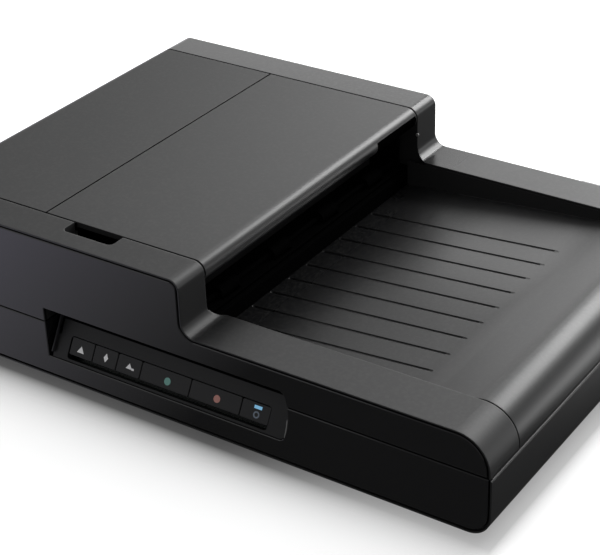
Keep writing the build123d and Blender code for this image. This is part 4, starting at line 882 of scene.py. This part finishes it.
inkScale = {"grains": 2200.0, "drift": 0.10, "rough": (0.35, 0.5)}
leanPlane = {"origin": (0, -0.16725, 0.0246), "lean": 30.0, "face": -0.0005, "sink": 0.00004,
             "rise": 0.00010, "band": 0.42}


def glowing(name, look):
    # a printed or lit sign: mottled ink, with a soft light from within where it is a lamp
    material, tree, skin = startMaterial(name)
    grain = placeGroup(tree, mouldedGrain, Grains=inkScale["grains"], Drift=inkScale["drift"])
    toned = scaleColour(tree, look["colour"], grain.outputs["Tone"])
    tree.links.new(toned, skin.inputs["Base Color"])
    tree.links.new(rampNode(tree, grain.outputs["Sheen"], 0, 1, *inkScale["rough"]),
                   skin.inputs["Roughness"])
    if "light" in look:
        tree.links.new(toned, skin.inputs["Emission Color"])
        setSockets(skin, Emission_Strength=look["light"])
    return material


whiteInk = glowing("whiteInk", {"colour": (0.72, 0.72, 0.73)})
greenInk = glowing("greenInk", {"colour": (0.12, 0.285, 0.25)})
redInk = glowing("redInk", {"colour": (0.38, 0.17, 0.145)})
greyInk = glowing("greyInk", {"colour": (0.12, 0.15, 0.19)})
blueLamp = glowing("blueLamp", {"colour": (0.12, 0.28, 0.42), "light": 0.9})

# each shape: kind, sides, radius, shift, scale, turn
marks = {
    "copyMark": {"button": "copy_button", "x": -0.0877, "up": 0.0104, "ink": whiteInk,
                 "shapes": [("poly", 3, 0.0033, (0, -0.0004), (1.05, 0.95), 0)]},
    "mailMark": {"button": "mail_button", "x": -0.0659, "up": 0.0112, "ink": whiteInk,
                 "shapes": [("poly", 4, 0.0031, (0, 0), (0.62, 1), 0)]},
    "fileMark": {"button": "file_button", "x": -0.0450, "up": 0.0108, "ink": whiteInk,
                 "shapes": [("poly", 3, 0.0027, (-0.0006, 0.0), (1.1, 0.95), 0),
                            ("poly", 4, 0.0012, (0.0026, -0.0009), (1.3, 0.8), 45)]},
    "startMark": {"button": "start_button", "x": -0.0129, "up": 0.0105, "ink": greenInk,
                  "shapes": [("poly", 32, 0.0026, (0, 0), (1, 1), 0)]},
    "stopMark": {"button": "stop_button", "x": 0.0278, "up": 0.0108, "ink": redInk,
                 "shapes": [("poly", 32, 0.0026, (0, 0), (1, 1), 0)]},
    "powerMark": {"button": "power_button", "x": 0.0596, "up": 0.0098, "ink": greyInk,
                  "shapes": [("ring", 32, 0.0024, (0, 0), (1, 1), 0)]},
    "powerLamp": {"button": "power_button", "x": 0.0598, "up": 0.0148, "ink": blueLamp,
                  "shapes": [("poly", 4, 0.0042, (0, 0), (1.0, 0.36), 45)]}}


def leanMatrix(plane):
    # from the control panel's own plane to the machine
    lean = radians(plane["lean"])
    turn = Matrix(((1, 0, 0), (0, sin(lean), -cos(lean)), (0, cos(lean), sin(lean))))
    return atPlace(*plane["origin"]) @ turn.to_4x4()


def makeMarks(plane, signs):
    base = leanMatrix(plane)
    low = plane["face"] - plane["sink"]
    for name, sign in signs.items():
        shapes = []
        for kind, sides, radius, shift, scale, turn in sign["shapes"]:
            band = radius * plane["band"] if kind == "ring" else 0
            shape = addSign(sides, radius, plane["rise"] + plane["sink"], turn, scale, band)
            place = (sign["x"] + shift[0], sign["up"] + shift[1], low)
            shapes.append(putAt(shape, base @ atPlace(*place)))
        dress(joinAs(name, shapes), sign["ink"], sign["button"])


makeMarks(leanPlane, marks)
print("button marks made")

# Control panel trim: a fin at its left end, coloured paler as a painted highlight; black strips
# beside it and along the top as painted shade in the gaps; and a pale bead round the right end
# of the recess as a painted highlight

panelTrim = {"fin": ((-0.1096, 0.0035, -0.0001), (-0.1086, 0.0310, 0.0029)), "finEdge": 0.0003,
             "shadeStrips": (((-0.1118, 0.0, -0.0002), (-0.1097, 0.0312, 0.0004)),
                       ((-0.1085, 0.0170, -0.0002), (-0.1068, 0.0281, 0.0004)),
                       ((-0.1085, 0.0281, -0.0002), (0.0820, 0.0313, 0.0005))),
             "bead": ((0.0853, 0.0276), (0.0866, 0.0322), (0.0875, 0.0374), (0.0881, 0.0424)),
             "beadRadius": 0.00045, "beadY": -0.16765}


def makePanelTrim(look):
    base = leanMatrix(leanPlane)
    fin = roundEdges(addBlock("panelFin", *look["fin"]), look["finEdge"])
    dress(putAt(fin, base), finHighlightPlastic, "base")
    # painted shade: black strips laid in the gaps beside the fin and under the lid's fascia
    shadeStrips = [putAt(addBlock("shadeStrip", low, high), base) for low, high in look["shadeStrips"]]
    dress(joinAs("panelShadeStrips", shadeStrips), mouthShadePlastic, "base")


def makeRecessBead(look):
    bpy.ops.object.select_all(action="DESELECT")
    bpy.ops.curve.primitive_nurbs_path_add(radius=1, location=(0, 0, 0))
    bead = bpy.context.object
    while len(bead.data.splines[0].points) > len(look["bead"]):  # a new path has one too many
        bpy.ops.object.mode_set(mode="EDIT")
        bpy.ops.curve.select_all(action="DESELECT")
        bead.data.splines[0].points[-1].select = True
        bpy.ops.curve.delete(type="VERT")
        bpy.ops.object.mode_set(mode="OBJECT")
    for point, (x, z) in zip(bead.data.splines[0].points, look["bead"]):
        point.co = (x, look["beadY"], z, 1)
    bead.data.bevel_depth = look["beadRadius"]
    bead.data.bevel_resolution = 3
    bead.data.use_fill_caps = True
    bead.name = "recessBead"
    pickOnly(bead)
    bpy.ops.object.convert(target="MESH")
    bpy.ops.object.shade_smooth_by_angle(angle=radians(angles["bead"]))
    dress(bpy.context.object, beadPlastic, "base")


# painted highlight: the fin is coloured paler than the panel, standing in for the light on its
# edge
finHighlightPlastic = mouldedPlastic("finEdge", dict(panelLook, colour=(0.016, 0.016, 0.018)))
# painted highlight: the bead is pale grey and glossy, standing in for the glint on the rounded
# right end of the recess
beadPlastic = mouldedPlastic("beadPlastic", dict(fasciaLook, colour=(0.16, 0.16, 0.16)))
makePanelTrim(panelTrim)
makeRecessBead(panelTrim)

# Small fittings in the rear wall of the paper mouth: a bearing cap and a latch tab

mouthTrim = {"cap": (0.0082, 0.1308, 0.0988), "capRadius": 0.0013, "capDepth": 0.0012,
             "capSides": 28, "tab": ((-0.0117, 0.1303, 0.0968), (-0.0092, 0.1314, 0.0988)),
             "edge": 0.0003}


def makeMouthTrim(look):
    cap = addDisc("bearingCap", look["cap"], look["capRadius"], look["capDepth"],
                  look["capSides"], 90)
    dress(roundEdges(cap, look["edge"]), capPlastic, "lid")
    tab = roundEdges(addBlock("latchTab", *look["tab"]), look["edge"])
    dress(tab, tabPlastic, "lid")


capPlastic = mouldedPlastic("capPlastic", dict(gearLook, colour=(0.16, 0.16, 0.155)))
tabPlastic = mouldedPlastic("tabPlastic", dict(innerLook, colour=(0.030, 0.030, 0.030)))
makeMouthTrim(mouthTrim)

# Painted shade in the seams round the two covers: thin black strips laid in the gaps so that the
# seams read dark

seamShadeStrips = {
    "trayShadeStrip": ("feed_tray", (((-0.12725, -0.1384, 0.1181), (-0.12705, 0.1292, 0.1194)),
                               ((-0.2285, -0.1391, 0.1130), (-0.1278, -0.1389, 0.1193)))),
    "coverShadeStrip": ("feeder_cover", (((-0.1252, -0.1391, 0.1130), (-0.0996, -0.1389, 0.1193)),
                                   ((-0.0594, -0.1391, 0.1130), (-0.0060, -0.1389, 0.1193)))),
    "rearShadeStrip": ("lid", (((-0.2190, 0.1311, 0.1130), (-0.0060, 0.1313, 0.1193)),)),
}


def makeSeamShadeStrips(look):
    for name, (body, blocks) in look.items():
        strips = [addBlock("strip", low, high) for low, high in blocks]
        dress(joinAs(name, strips), paintedShadeBlack, body)


# Painted shade under the cover's rounded edge, on its rear fifth: a thin black strip, what is
# left of a thin tube when the part above it and the part beside it are cut off

noseShadeStrip = {"centre": (0.0, 0.1015, 0.112), "outer": 0.00812, "inner": 0.0079,
             "length": 0.0550, "sides": 160, "above": ((-0.02, 0.0, 0.1153), (0.02, 0.2, 0.14)),
             "beside": ((-0.03, 0.0, 0.09), (0.0050, 0.2, 0.13))}


def makeNoseShadeStrip(look):
    place = atPlace(*look["centre"]) @ Matrix.Rotation(radians(90), 4, "X")
    strip, bore = (putAt(addDisc("noseShadeStrip", (0, 0, 0), radius, length, look["sides"]), place)
                   for radius, length in ((look["outer"], look["length"]),
                                          (look["inner"], 2 * look["length"])))
    cutWith(strip, bore)
    for side in ("above", "beside"):
        cutWith(strip, addBlock(side, *look[side]))
    bpy.ops.object.shade_smooth_by_angle(angle=radians(angles["smooth"]))
    dress(strip, paintedShadeBlack, "feeder_cover")


# painted shade: a flat black without gloss, for the strips in the seams and under the cover's
# rounded edge
paintedShadeBlack = mouldedPlastic("paintedShadeBlack", dict(foamLook, colour=(0.0010, 0.0010, 0.0010), gloss=0.0))
makeSeamShadeStrips(seamShadeStrips)
makeNoseShadeStrip(noseShadeStrip)
print("panel trim, mouth trim and seam strips made")

# Print on the flatbed frame: size ticks, and an arrow at the corner where the paper goes

bedPrint = {"z": 0.0518, "rise": 0.00006, "sink": 0.00003, "left": -0.135, "rear": 0.11575,
            "gap": 0.0022, "wide": 0.0004, "short": 0.0026, "long": 0.0042, "every": 5,
            "pitch": 0.010, "across": 29, "down": 21, "arrow": 0.0026, "arrowTurn": -45}


def makeBedPrint(look):
    low, high = look["z"] - look["sink"], look["z"] + look["rise"]
    left, rear, gap, half = look["left"], look["rear"], look["gap"], look["wide"] / 2
    ticks = []
    for way in ("across", "down"):
        for i in range(1, look[way]):
            reach = look["short" if i % look["every"] else "long"]
            if way == "across":
                x, y = left + i * look["pitch"], rear + gap
                near, far = (x - half, y, low), (x + half, y + reach, high)
            else:
                x, y = left - gap, rear - i * look["pitch"]
                near, far = (x - reach, y - half, low), (x, y + half, high)
            ticks.append(addBlock("tick", near, far))
    arrow = addSign(3, look["arrow"], high - low, look["arrowTurn"])
    ticks.append(putAt(arrow, atPlace(left - gap * 2, rear + gap * 2, low)))
    dress(joinAs("bedPrint", ticks), whiteInk, "base")


makeBedPrint(bedPrint)

# Document guides: upright ribs on their outer faces

guideRibs = {"half": 0.0004, "rise": 0.0007, "count": 6, "edge": 0.0002, "foot": 0.001,
             "top": 0.0105}


def makeGuideRibs(look):
    for node, side in (("guide_front", -1), ("guide_rear", 1)):
        low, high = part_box(node)
        face = low.y if side < 0 else high.y
        near, far = sorted((face, face + side * look["rise"]))
        ribs = []
        for i in range(look["count"]):
            x = low.x + (high.x - low.x) / (look["count"] + 1) * (i + 1)
            rib = addBlock("rib", (x - look["half"], near, low.z + look["foot"]),
                           (x + look["half"], far, low.z + look["top"]))
            ribs.append(roundEdges(rib, look["edge"], 1))
        dress(joinAs(node + "Ribs", ribs), innerPlastic, node)


makeGuideRibs(guideRibs)

# Glass strips of the two image sensors, and the lit lines in the scan carriage

sensorPane = {"half": 0.0045, "rise": 0.0003, "sink": 0.0002, "end": 0.012, "edge": 0.0002}
lightLine = {"half": 0.0008, "rise": 0.0009, "sink": 0.0002, "end": 0.006, "edge": 0.0003,
             "shift": 0.0075}


def makeBar(name, node, look, shift=0, up=1):
    # a bar along the node's upper or lower face, shifted from its middle
    low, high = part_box(node)
    x = (low.x + high.x) / 2 + shift
    face = high.z if up > 0 else low.z
    near, far = sorted((face - up * look["sink"], face + up * look["rise"]))
    bar = addBlock(name, (x - look["half"], low.y + look["end"], near),
                   (x + look["half"], high.y - look["end"], far))
    return roundEdges(bar, look["edge"])


def makeSensorPanes(look):
    for node, body, up in (("lower_sensor", "lid", 1), ("upper_sensor", "feeder_cover", -1)):
        dress(makeBar(node + "Pane", node, look, 0, up), darkPane, body)


def makeLightLines(look):
    bars = [makeBar("lightBar", "carriage", look, side * look["shift"]) for side in (-1, 1)]
    dress(joinAs("carriageLightBars", bars), lightGuide, "scan_carriage")


darkPane = clearGlass("darkPane", {"colour": (0.05, 0.06, 0.06), "clear": 0.35,
                                   "rough": (0.02, 0.06)})
lightGuide = glowing("lightGuide", {"colour": (0.60, 0.66, 0.64), "light": 0.05})
makeSensorPanes(sensorPane)
makeLightLines(lightLine)
print("prints, ribs, sensor panes and light bars made")
